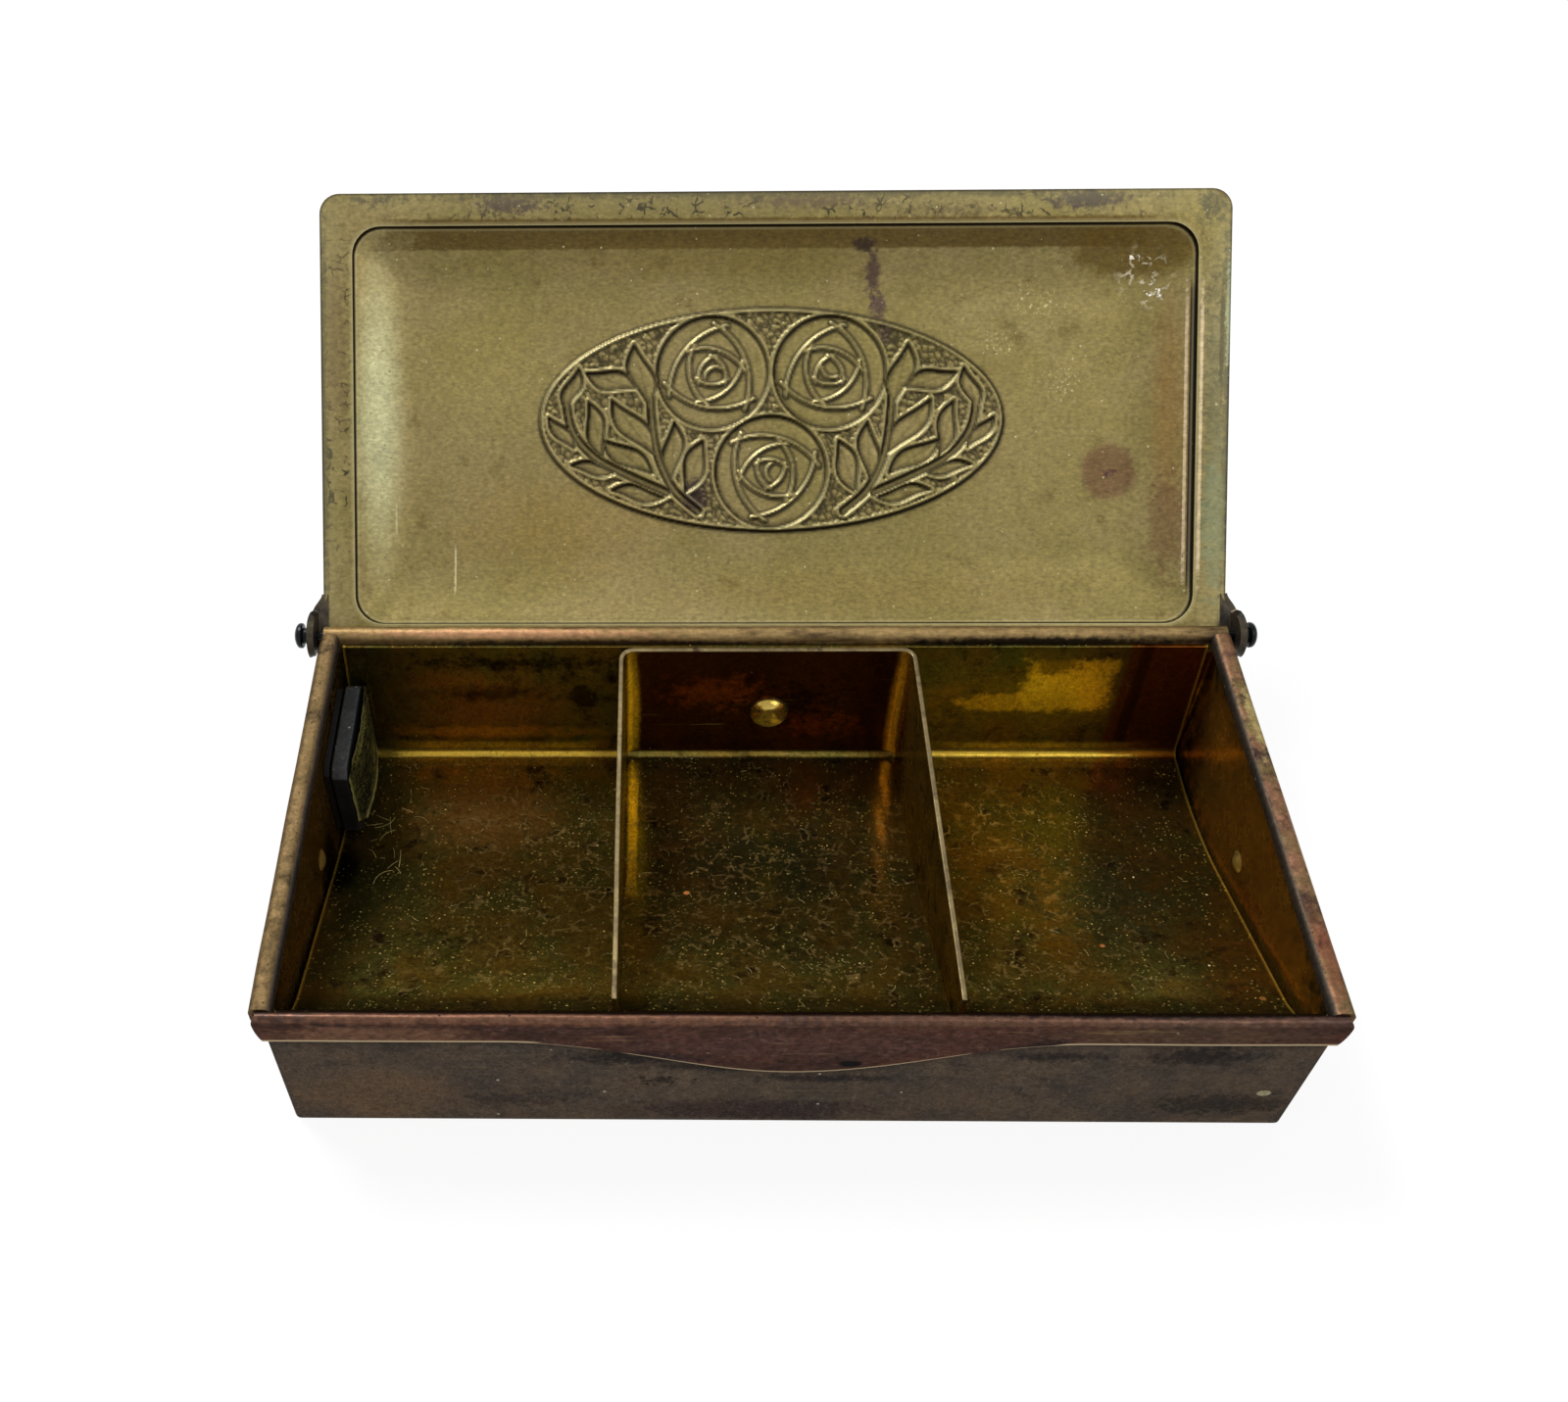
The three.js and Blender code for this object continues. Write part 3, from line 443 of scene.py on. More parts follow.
def rounded(corners: Sequence[tuple[float, ...]], steps: int = 5) -> list[Point]:
    """A path of straight runs whose corners are rounded.

    Args:
        corners: Points (x, y) or (x, y, radius).
        steps: Facets of each bend.

    Returns:
        The points of the path.
    """
    path: list[Point] = []
    for i, corner in enumerate(corners):
        radius = corner[2] if len(corner) > 2 else 0.0
        here = Vector(corner[:2])
        if not radius or i in (0, len(corners) - 1):
            path.append(tuple(here))
            continue
        back = (Vector(corners[i - 1][:2]) - here).normalized()
        ahead = (Vector(corners[i + 1][:2]) - here).normalized()
        half = back.angle(ahead) / 2
        centre = here + (back + ahead).normalized() * (radius / math.sin(half))
        start = here + back * (radius / math.tan(half)) - centre
        end = here + ahead * (radius / math.tan(half)) - centre
        first = math.atan2(start.y, start.x)
        sweep = math.atan2(end.y, end.x) - first
        sweep -= 2 * math.pi * round(sweep / (2 * math.pi))
        path += arc(tuple(centre), radius, math.degrees(first), math.degrees(first + sweep), steps)
    return path


@dataclass
class BoxSizes:
    """Sizes that several sub-assemblies share, in millimetres."""

    length: float = 114.0
    depth: float = 56.6
    height: float = 23.5
    sheet: float = 0.5
    rim_overhang: float = 1.0
    rim_width: float = 2.4
    rim_lip: float = 2.3
    rim_set_down: float = 2.6
    apron_gap: float = 0.25
    rod: float = 0.5
    rod_fit: float = 0.12
    open_angle: float = 136.0
    lid_gap: float = 0.33
    tray_sheet: float = 0.5
    sheet_fit: float = 0.05

    @property
    def wall_x(self) -> float:
        """Outer face of a side wall."""
        return self.length / 2 - self.rim_overhang

    @property
    def front_y(self) -> float:
        """Face of the apron."""
        return -self.depth / 2

    @property
    def front_wall_y(self) -> float:
        """Outer face of the front wall."""
        return self.front_y + self.sheet + self.apron_gap

    @property
    def curl(self) -> float:
        """Outer radius of the hinge curl."""
        return self.rod + self.rod_fit + self.sheet

    @property
    def hinge(self) -> Point:
        """Place of the hinge axis in Y and Z."""
        return (self.depth / 2 - self.curl, self.height - self.curl)

    @property
    def back_inner_y(self) -> float:
        """Inner face of the back wall."""
        return self.hinge[0] - self.curl

    @property
    def wall_top(self) -> float:
        """Where the walls end and the rims begin."""
        return self.height - self.rim_set_down

    @property
    def tray_back_y(self) -> float:
        """Front face of the tray's back plate."""
        return self.back_inner_y - self.sheet_fit - self.tray_sheet

    @property
    def tray_floor_z(self) -> float:
        """Upper face of the tray's floor at the back."""
        return self.sheet + self.sheet_fit + self.tray_sheet


@dataclass
class Metalwork:
    """Shared ways of making a piece: folded sheets, turned pieces and their finish."""

    box: BoxSizes

    @staticmethod
    def carry(bm: Shape, path: Iterable[Vector], run: Vector, steps: int) -> list[Face]:
        """Carries a line of points along a run, as a sheet one face thick.

        Args:
            bm: The mesh.
            path: Points in millimetres.
            run: Where the line is carried, in millimetres.
            steps: Rows of faces along the run.

        Returns:
            The new faces.
        """
        verts = [bm.verts.new(Vector(p) * MM) for p in path]
        edges = [bm.edges.new(pair) for pair in zip(verts, verts[1:])]
        faces: list[Face] = []
        for _ in range(steps):
            grown = bmesh.ops.extrude_edge_only(bm, edges=edges)["geom"]
            fresh = [g for g in grown if isinstance(g, Vert)]
            edges = [g for g in grown if isinstance(g, Edge)]
            faces += [g for g in grown if isinstance(g, Face)]
            bmesh.ops.translate(bm, vec=run * MM / steps, verts=fresh)
            kept = set(fresh)
            edges = [e for e in edges if e.verts[0] in kept and e.verts[1] in kept]
        return faces

    @staticmethod
    def thicken(bm: Shape, faces: list[Face], thickness: float) -> None:
        """Gives sheet faces their thickness, half on each side of the faces."""
        bmesh.ops.recalc_face_normals(bm, faces=faces)
        verts = list({v for f in faces for v in f.verts})
        bm.normal_update()
        normals = {v: v.normal.copy() for v in verts}
        for v in verts:
            linked = [f.normal for f in v.link_faces]
            lean = max(min((normals[v].dot(n) for n in linked), default=1.0), 0.4)
            v.co += normals[v] * (thickness * MM / 2 / lean)
        bmesh.ops.solidify(bm, geom=faces, thickness=thickness * MM)
        bmesh.ops.recalc_face_normals(bm, faces=bm.faces[:])

    @staticmethod
    def turned(bm: Shape, profile: Sequence[Point], centre: Vector, axis: Vector, steps: int = 40) -> None:
        """Spins a profile about an axis.

        Args:
            bm: The mesh.
            profile: Points (radius, height along the axis) in millimetres.
            centre: The profile's origin, in millimetres.
            axis: The axis' direction.
            steps: Facets round.
        """
        side = axis.orthogonal().normalized()
        verts = [bm.verts.new((centre + side * r + axis * h) * MM) for r, h in profile]
        edges = [bm.edges.new(pair) for pair in zip(verts, verts[1:])]
        turn = {"cent": centre * MM, "axis": axis, "angle": 2 * math.pi, "steps": steps}
        bmesh.ops.spin(bm, geom=[*verts, *edges], **turn, use_merge=True, use_duplicate=False)
        bmesh.ops.remove_doubles(bm, verts=bm.verts[:], dist=0.002 * MM)
        bmesh.ops.recalc_face_normals(bm, faces=bm.faces[:])

    @staticmethod
    def waver(bm: Shape, depth: float, size: float, seed: float) -> None:
        """Moves every point by a smooth unevenness, as of a hand-worked sheet.

        Args:
            bm: The mesh.
            depth: Greatest move in millimetres.
            size: Length of the waves in millimetres.
            seed: A number that sets the pattern.
        """
        offset = Vector((seed, seed * 1.7, -seed))
        for v in bm.verts:
            v.co += noise.noise_vector(v.co / (size * MM) + offset) * depth * MM

    @staticmethod
    def mark(bm: Shape, index: int, test: Callable[[Face], bool]) -> None:
        """Gives the faces that pass a test another of the piece's finishes."""
        bm.normal_update()
        for face in bm.faces:
            if test(face):
                face.material_index = index

    @staticmethod
    def shade(bm: Shape, layer: str, share: Callable[[Vector], float]) -> None:
        """Writes a share from 0 to 1 at every point of a mesh.

        Args:
            bm: The mesh.
            layer: The attribute's name.
            share: Gives the share at a place in millimetres.
        """
        attribute = bm.verts.layers.float.new(layer)
        for v in bm.verts:
            v[attribute] = min(max(share(v.co / MM), 0.0), 1.0)

    @staticmethod
    def tube(bm: Shape, line: Sequence[Vector], radius: float, sides: int = 5) -> None:
        """A thin closed tube along a line of points in millimetres."""
        rings: list[list[Vert]] = []
        for i, point in enumerate(line):
            along = (line[min(i + 1, len(line) - 1)] - line[max(i - 1, 0)]).normalized()
            side = along.cross(Vector((0.3, 0.1, 1))).normalized()
            lift = side.cross(along)
            turns = [2 * math.pi * k / sides for k in range(sides)]
            places = [point + (side * math.cos(a) + lift * math.sin(a)) * radius for a in turns]
            rings.append([bm.verts.new(p * MM) for p in places])
        for near, far in zip(rings, rings[1:]):
            for k in range(sides):
                bm.faces.new((near[k - 1], near[k], far[k], far[k - 1]))
        bm.faces.new(rings[0])
        bm.faces.new(rings[-1][::-1])

    @staticmethod
    def dress(
        name: str,
        bm: Shape,
        finishes: Sequence[Material],
        body: Body,
        slot: Slot,
        nodes: Sequence[str],
        bevel: float = 0.0,
        edge_finish: int = -1,
    ) -> bpy.types.Object:
        """Turns a mesh into a dressed piece that rides on its body.

        Args:
            name: The piece's name.
            bm: Its mesh, in metres.
            finishes: Its materials.
            body: The body that it rides on.
            slot: The record's slot; not used.
            nodes: Frame nodes that it stands for.
            bevel: Width in millimetres of a bevel on its sharp edges.
            edge_finish: Which of the materials the bevel takes, or -1 for its neighbours'.

        Returns:
            The piece.
        """
        bmesh.ops.recalc_face_normals(bm, faces=bm.faces[:])
        mesh = bpy.data.meshes.new(name)
        bm.to_mesh(mesh)
        bm.free()
        piece = placed(name, mesh)
        for finish in finishes:
            mesh.materials.append(finish)
        mesh.polygons.foreach_set("use_smooth", [True] * len(mesh.polygons))
        mesh.set_sharp_from_angle(angle=math.radians(SHARP_ANGLE))
        if bevel:
            edge = piece.modifiers.new("edge", "BEVEL")
            edge.width = bevel * MM
            edge.segments = 2
            edge.limit_method = "ANGLE"
            edge.angle_limit = math.radians(SHARP_ANGLE)
            edge.use_clamp_overlap = True
            edge.material = edge_finish
        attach(piece, body.value)
        if nodes:
            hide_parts(*nodes)
        LOG.info("%s: %d faces", name, len(mesh.polygons))
        return piece


WALL = Finish(
    name="sheet brass darkened grey brown",
    # Dull grey brown, as brass that was never polished outside, with painted shade in blue-black just under
    # the apron's edge and under the hinge curl
    tones=("5b4f43", "4e4740", "413b36"),
    cloud=7, blotch=6, depth=0.22, grain=0.3, dents=0.1, hairlines=0.12,
    # Near black in the hollows: painted shade under the apron's edge and under the rims' lips
    metallic=0.86, roughness=(0.4, 0.55), bump=0.03, edge="6a5c4e", grime_and_shade="0b0b0e",
    dust=(Dust(1.1, 0.16, 0.4, "1c1815"), Dust(3, 0.07, 0.3, "9d9478")),
    stains_and_light=(
        # Blue-black just under the apron's edge: painted shade
        StainAndLight((-18, -27.6, 14.6), (9, 2, 2.2), "12141b", 0.73, 0.9, 1.6, 0.9),
        StainAndLight((-10, -27.6, 12.6), (10, 2, 1.4), "15161b", 0.58, 0.9, 1.6, 0.8),
        StainAndLight((-14, -27.6, 9.5), (6, 2, 2), "1c1c1e", 0.7, 0.6, 2.4, 0.7, 0.4),
        StainAndLight((43, -27.6, 15.6), (9, 2, 3), "101219", 0.73, 0.9, 1.8, 0.9),
        StainAndLight((28, -27.6, 15.2), (8, 2, 1.8), "15161c", 0.63, 0.9, 1.6, 0.9),
        StainAndLight((48, -27.6, 4.5), (10, 2, 3), "24211f", 0.6, 0.6, 1.8, 0.8),
        StainAndLight((4, -27.6, 10.2), (13, 2, 1.4), "12131a", 0.63, 0.9, 1.4, 0.9),
        StainAndLight((-4, -27.6, 2.6), (18, 2, 3.4), "33262a", 0.6, 0.6, 1.6, 1.2),
        StainAndLight((-46, -27.6, 6), (12, 2, 8), "6a5743", 0.5),
        StainAndLight((-30, -27.6, 5), (14, 2, 4), "2c2a2b", 0.5, 0.6, 2.2, 0.8, 0.3),
        StainAndLight((52, -27.6, 7.2), (0.9, 1, 0.7), "a19a7c", 0.85, 0.3, 0.4, 2.2),
        # Painted shade under the hinge curl
        StainAndLight((33, 26.3, 20.6), (17, 2, 1.6), "0e1014", 0.9, 0.6, 0.9, 2.2),
        Web((0, -27.6, 9), (58, 2, 12), "7a6e5e", 0.16),
    ),
)
APRON = Finish(
    name="sheet brass worn copper red",
    # Purple brown; the copper along the top roll is a painted highlight, the dark line behind the roll
    # painted shade
    tones=("523c33", "45352f", "2a2022"),
    cloud=5, blotch=4, cover=0.36, depth=0.28, grain=0.3, brush=3, dents=0.12,
    run=(2.5, 1, 1), hairlines=0.3, metallic=0.86, roughness=(0.32, 0.48), bump=0.03,
    edge="6a564a", wear_and_highlight="b09c7c",
    dust=(Dust(1.1, 0.15, 0.45, "1a1416"), Dust(2.4, 0.07, 0.3, "b09a78")),
    stains_and_light=(
        # Painted highlight in copper along the top roll
        StainAndLight((-28, -28, 23.4), (38, 1.2, 1.2), "6c4c3a", 0.7, 0.7, 1.8),
        StainAndLight((24, -28, 23.4), (40, 1.2, 1.1), "5c4334", 0.6, 0.7, 2),
        # Painted shade in the crease behind the roll
        StainAndLight((34, -27.2, 23.5), (24, 0.7, 0.8), "101116", 0.8, 0.6, 1.8),
        StainAndLight((-10, -27.1, 23.5), (48, 0.5, 0.8), "2a1612", 0.8, 0.6, 1.6),
        StainAndLight((6, -28.3, 14.8), (1.4, 1, 0.8), "0d090c", 0.95, 0.4, 0.9, 0.8),
        StainAndLight((40, -28.3, 21), (18, 2, 3), "5b4b3c"),
        StainAndLight((-44, -28.3, 20.4), (14, 2, 2.6), "745a48", 0.65, 0.6, 1.2),
        StainAndLight((0, -28.3, 18.5), (24, 2, 3), "5a4440", 0.45, 0.6, 1.4),
        StainAndLight((-16, -28.3, 15.8), (9, 2, 1.6), "26232a", 0.6, 0.6, 2, 0.8),
        Web((0, -28.3, 19), (58, 2, 5), "84706a", 0.14),
    ),
)
LEFT_RIM = Finish(
    name="sheet brass rubbed tan",
    # Matt tan with small pits
    tones=("6c583b", "5a4a2f", "352c1f"),
    edge="7a684c", cloud=4, blotch=2.4, cover=0.42, depth=0.25, grain=0.25, metallic=0.7,
    roughness=(0.5, 0.64), bump=0.05,
    dust=(Dust(0.7, 0.2, 0.4, "33281c"), Dust(1.3, 0.12, 0.4, "2a2018")),
    stains_and_light=(StainAndLight((-54.4, 0, 23), (0.7, 34, 1.2), "2c2214", 0.75, 0.8),),
)
RIGHT_RIM = Finish(
    name="sheet brass mottled red brown",
    # Red brown with olive patches
    tones=("7a5843", "645638", "352826"),
    edge="8a705a", cloud=3.5, blotch=3, cover=0.45, depth=0.3, grain=0.25, metallic=0.75,
    roughness=(0.48, 0.64), bump=0.05,
    dust=(Dust(1, 0.14, 0.4, "1c1416"),),
    stains_and_light=(
        StainAndLight((56.4, 12, 23.4), (1.4, 9, 2), "a09260", 0.75, 0.6, 2, 1, 0.2),
        StainAndLight((57, -6, 23), (0.6, 24, 2), "a08a70", 0.6, 0.8, 1.4),
        StainAndLight((55.8, -20, 23.4), (1.6, 8, 2), "6c3c2c", 0.5, 0.8, 1.4),
        StainAndLight((54.8, -4, 23.4), (0.7, 24, 1.2), "20181a", 0.7, 0.8),
    ),
)
CURL = Finish(
    name="sheet brass of the hinge curl, painted highlight and shade",
    # Painted highlight in tan on the crest of the roll, painted shade below it
    tones=("846e48", "664f32", "30241c"),
    edge="8a7650", cloud=7, blotch=4, cover=0.4, depth=0.25, grain=0.2, brush=5,
    run=(4, 1, 1), metallic=0.75, roughness=(0.42, 0.58), bump=0.05,
    stains_and_light=(
        # Painted highlight on the crest of the roll
        StainAndLight((-34, 26.6, 23.3), (22, 0.9, 0.8), "a87a5c", 0.6, 0.6, 1.4),
        # Painted shade below the roll
        StainAndLight((-20, 26.1, 22), (34, 0.6, 0.8), "1c1216", 0.8, 0.6, 1.6),
        StainAndLight((33, 26.1, 22.2), (24, 1, 1.2), "0c0e12", 0.9, 0.6, 1.4),
        StainAndLight((0, 26.2, 21.5), (56, 0.6, 0.7), "2a1410", 0.7),
    ),
)


@dataclass
class Case(Metalwork):
    """The folded case: walls, rims, apron and hinge curl."""

    apron_drop: float = 4.4
    bell_drop: float = 6.2
    bell_half: float = 31.0
    corner_seam: float = 0.04
    corner_fold: float = 0.8
    apron_round: float = 1.6
    apron_inset: float = 0.5
    apron_set_back: float = 0.03
    roll_round: float = 0.45
    step_bend: float = 0.25
    rim_inner_bend: float = 0.55
    rim_outer_bend: float = 0.65
    curl_inset: float = 0.4
    wall_cuts: int = 48
    dimple_y: float = 1.7
    dimple_z: float = 9.5

    def apron_edge(self, x: float) -> float:
        """Height of the apron's lower edge at x."""
        reach = min(abs(x) / self.bell_half, 1.0)
        return self.box.height - self.apron_drop - self.bell_drop * (0.5 + 0.5 * math.cos(math.pi * reach))

    def walls(self) -> Shape:
        """The bottom and the four walls, open at the top."""
        b = self.box
        bm = bmesh.new()
        bmesh.ops.create_cube(bm, size=1.0)
        y0, y1 = b.front_wall_y, b.back_inner_y + b.sheet
        size = (2 * b.wall_x, y1 - y0, b.wall_top)
        bmesh.ops.scale(bm, vec=[v * MM for v in size], verts=bm.verts)
        bmesh.ops.translate(bm, vec=Vector((0, (y0 + y1) / 2, b.wall_top / 2)) * MM, verts=bm.verts)
        top = [f for f in bm.faces if f.normal.z > 0.9]
        upright = [e for e in bm.edges if abs(e.verts[0].co.z - e.verts[1].co.z) > MM]
        bmesh.ops.delete(bm, geom=top, context="FACES_ONLY")
        fold = {"offset": self.corner_fold * MM, "segments": 4, "profile": 0.5}
        bmesh.ops.bevel(bm, geom=upright, **fold, affect="EDGES", material=-1)
        long_edges = [e for e in bm.edges if e.calc_length() > b.wall_top * 0.9 * MM]
        bmesh.ops.subdivide_edges(bm, edges=long_edges, cuts=self.wall_cuts, use_grid_fill=True)
        faces = bm.faces[:]
        bmesh.ops.recalc_face_normals(bm, faces=faces)
        bmesh.ops.solidify(bm, geom=faces, thickness=b.sheet * MM)
        # Painted shade under the apron's edge and under the rims' lips
        self.shade(bm, "hollow", self.painted_shade_at)
        self.mark(bm, 1, self.is_inside)
        return bm

    def painted_shade_at(self, place: Vector) -> float:
        """How much painted shade lies under the apron's edge and under the rims' lips."""
        b = self.box
        if place.y < b.front_wall_y + 0.1:
            return 0.95 - (self.apron_edge(place.x) - place.z) / 2.4
        return 0.8 - (b.height - b.rim_lip - place.z) / 1.2

    def is_inside(self, face: Face) -> bool:
        """Whether a face of the walls looks into the box."""
        b = self.box
        middle = face.calc_center_median() / MM
        near = 0.1
        level = abs(middle.x) < b.wall_x - b.sheet + near and middle.z > b.sheet - near
        return level and b.front_wall_y + b.sheet - near < middle.y < b.back_inner_y + near

    def side_rim(self, side: int) -> Shape:
        """A side wall's top: set in, flat and turned down outside."""
        b = self.box
        half = b.sheet / 2
        wall, inner, outer = b.wall_x - half, b.length / 2 - b.rim_width + half, b.length / 2 - half
        top = b.height - half
        step = b.wall_top + 0.1
        path = rounded([
            (wall, b.wall_top - b.sheet), (wall, step, self.step_bend),
            (inner, step + wall - inner, self.step_bend), (inner, top, self.rim_inner_bend),
            (outer, top, self.rim_outer_bend), (outer, b.height - b.rim_lip),
        ])
        y0 = b.front_wall_y + b.sheet + self.corner_seam
        y1 = b.back_inner_y + half
        bm = bmesh.new()
        line = [Vector((side * x, y0, z)) for x, z in path]
        faces = self.carry(bm, line, Vector((0, y1 - y0, 0)), 24)
        self.thicken(bm, faces, b.sheet)
        self.waver(bm, 0.07, 9.0, 3.0 * side)
        self.mark(bm, 1, lambda face: face.normal.x * side < -0.55)
        return bm

    def apron(self) -> Shape:
        """The front wall's top, folded forward and down to its bell-shaped edge."""
        b = self.box
        half = b.sheet / 2
        wall, face = b.front_wall_y + half, b.front_y + half
        top = b.height - half
        fold = (wall - face) / 2 - 0.005
        low = b.height - self.apron_drop - self.bell_drop
        corners = [(wall, b.wall_top - b.sheet), (wall, top, fold), (face, top, fold), (face, top - 2 * fold)]
        bend = rounded(corners)
        shares = [t / 8 for t in range(1, 8)] + [0.965, 1.0]
        drop = [(face, top - 2 * fold + (low - top + 2 * fold) * t) for t in shares]
        bm = bmesh.new()
        end_x = b.length / 2 - self.apron_inset
        line = [Vector((-end_x, y, z)) for y, z in bend + drop]
        faces = self.carry(bm, line, Vector((2 * end_x, 0, 0)), 76)
        start = (top - 2 * fold) * MM
        for v in bm.verts:
            if v.co.z < start and v.co.y < (wall + face) / 2 * MM:
                share = (start - v.co.z) / (start - low * MM)
                v.co.z = start + (self.apron_edge(v.co.x / MM) * MM - start) * share
            end = max(0.0, start - v.co.z) if v.co.y < (wall + face) / 2 * MM else 0.0
            round_off = 1 - math.sqrt(1 - min(end / (self.apron_drop * MM), 1.0) ** 2)
            rise = min(max((v.co.z - start) / (top * MM - start), 0.0), 1.0)
            crest = 1 - math.sqrt(1 - rise * rise)
            v.co.x *= 1 - (self.apron_round * round_off + self.roll_round * crest) / end_x
        self.thicken(bm, faces, b.sheet)
        self.shade(bm, "wear_and_highlight", lambda place: 1.0 if place.z < self.apron_edge(place.x) + 0.16 else 0.0)
        self.waver(bm, 0.05, 12.0, 7.0)
        bmesh.ops.translate(bm, vec=(0, self.apron_set_back * MM, 0), verts=bm.verts)
        return bm

    def curl(self) -> Shape:
        """The back wall's top, rolled round the hinge rod."""
        b = self.box
        half = b.sheet / 2
        hinge_y, hinge_z = b.hinge
        roll = arc((hinge_y, hinge_z), b.curl - half, 180, -105, 22)
        path = [(b.back_inner_y + half, b.wall_top - b.sheet)] + roll
        bm = bmesh.new()
        curl_half = b.length / 2 - self.curl_inset
        line = [Vector((-curl_half, y, z)) for y, z in path]
        faces = self.carry(bm, line, Vector((2 * curl_half, 0, 0)), 60)
        self.thicken(bm, faces, b.sheet)
        self.waver(bm, 0.05, 8.0, 11.0)
        return bm

    def dimple(self, side: int) -> Shape:
        """A shallow bump pressed into a side wall."""
        b = self.box
        bm = bmesh.new()
        profile = [(0.0, 0.5), (0.5, 0.44), (0.9, 0.28), (1.25, 0.06), (1.35, 0.0)]
        centre = Vector((side * (b.wall_x - b.sheet), self.dimple_y, self.dimple_z))
        self.turned(bm, profile, centre, Vector((-side, 0, 0)), 24)
        return bm

    def build(self, inside: Material, bare: Material) -> None:
        """Builds and dresses the case.

        Args:
            inside: Finish of the sheets' inner faces.
            bare: Finish of rubbed edges.
        """
        walls, apron, curl = WALL.build(), APRON.build(), CURL.build()
        left, right = LEFT_RIM.build(), RIGHT_RIM.build()
        rubbed = ("bc9c50", "94783a", "5c4a20")
        bump = replace(BARE_EDGE, name="bare brass on a rubbed bump", tones=rubbed, metallic=0.7).build()
        made = [
            ("case_walls", self.walls(), [walls, inside]),
            ("case_rim_left", self.side_rim(-1), [left, walls, bare], 0.08, 2),
            ("case_rim_right", self.side_rim(1), [right, walls, bare], 0.08, 2),
            ("case_apron", self.apron(), [apron, bare], 0.12, 1),
            ("case_hinge_curl", self.curl(), [curl]),
            ("case_dimple_left", self.dimple(-1), [bump]),
            ("case_dimple_right", self.dimple(1), [bump]),
        ]
        for name, bm, finishes, *edge in made:
            self.dress(name, bm, finishes, Body.CASE, Slot.CASE, ["case_body"], *edge)


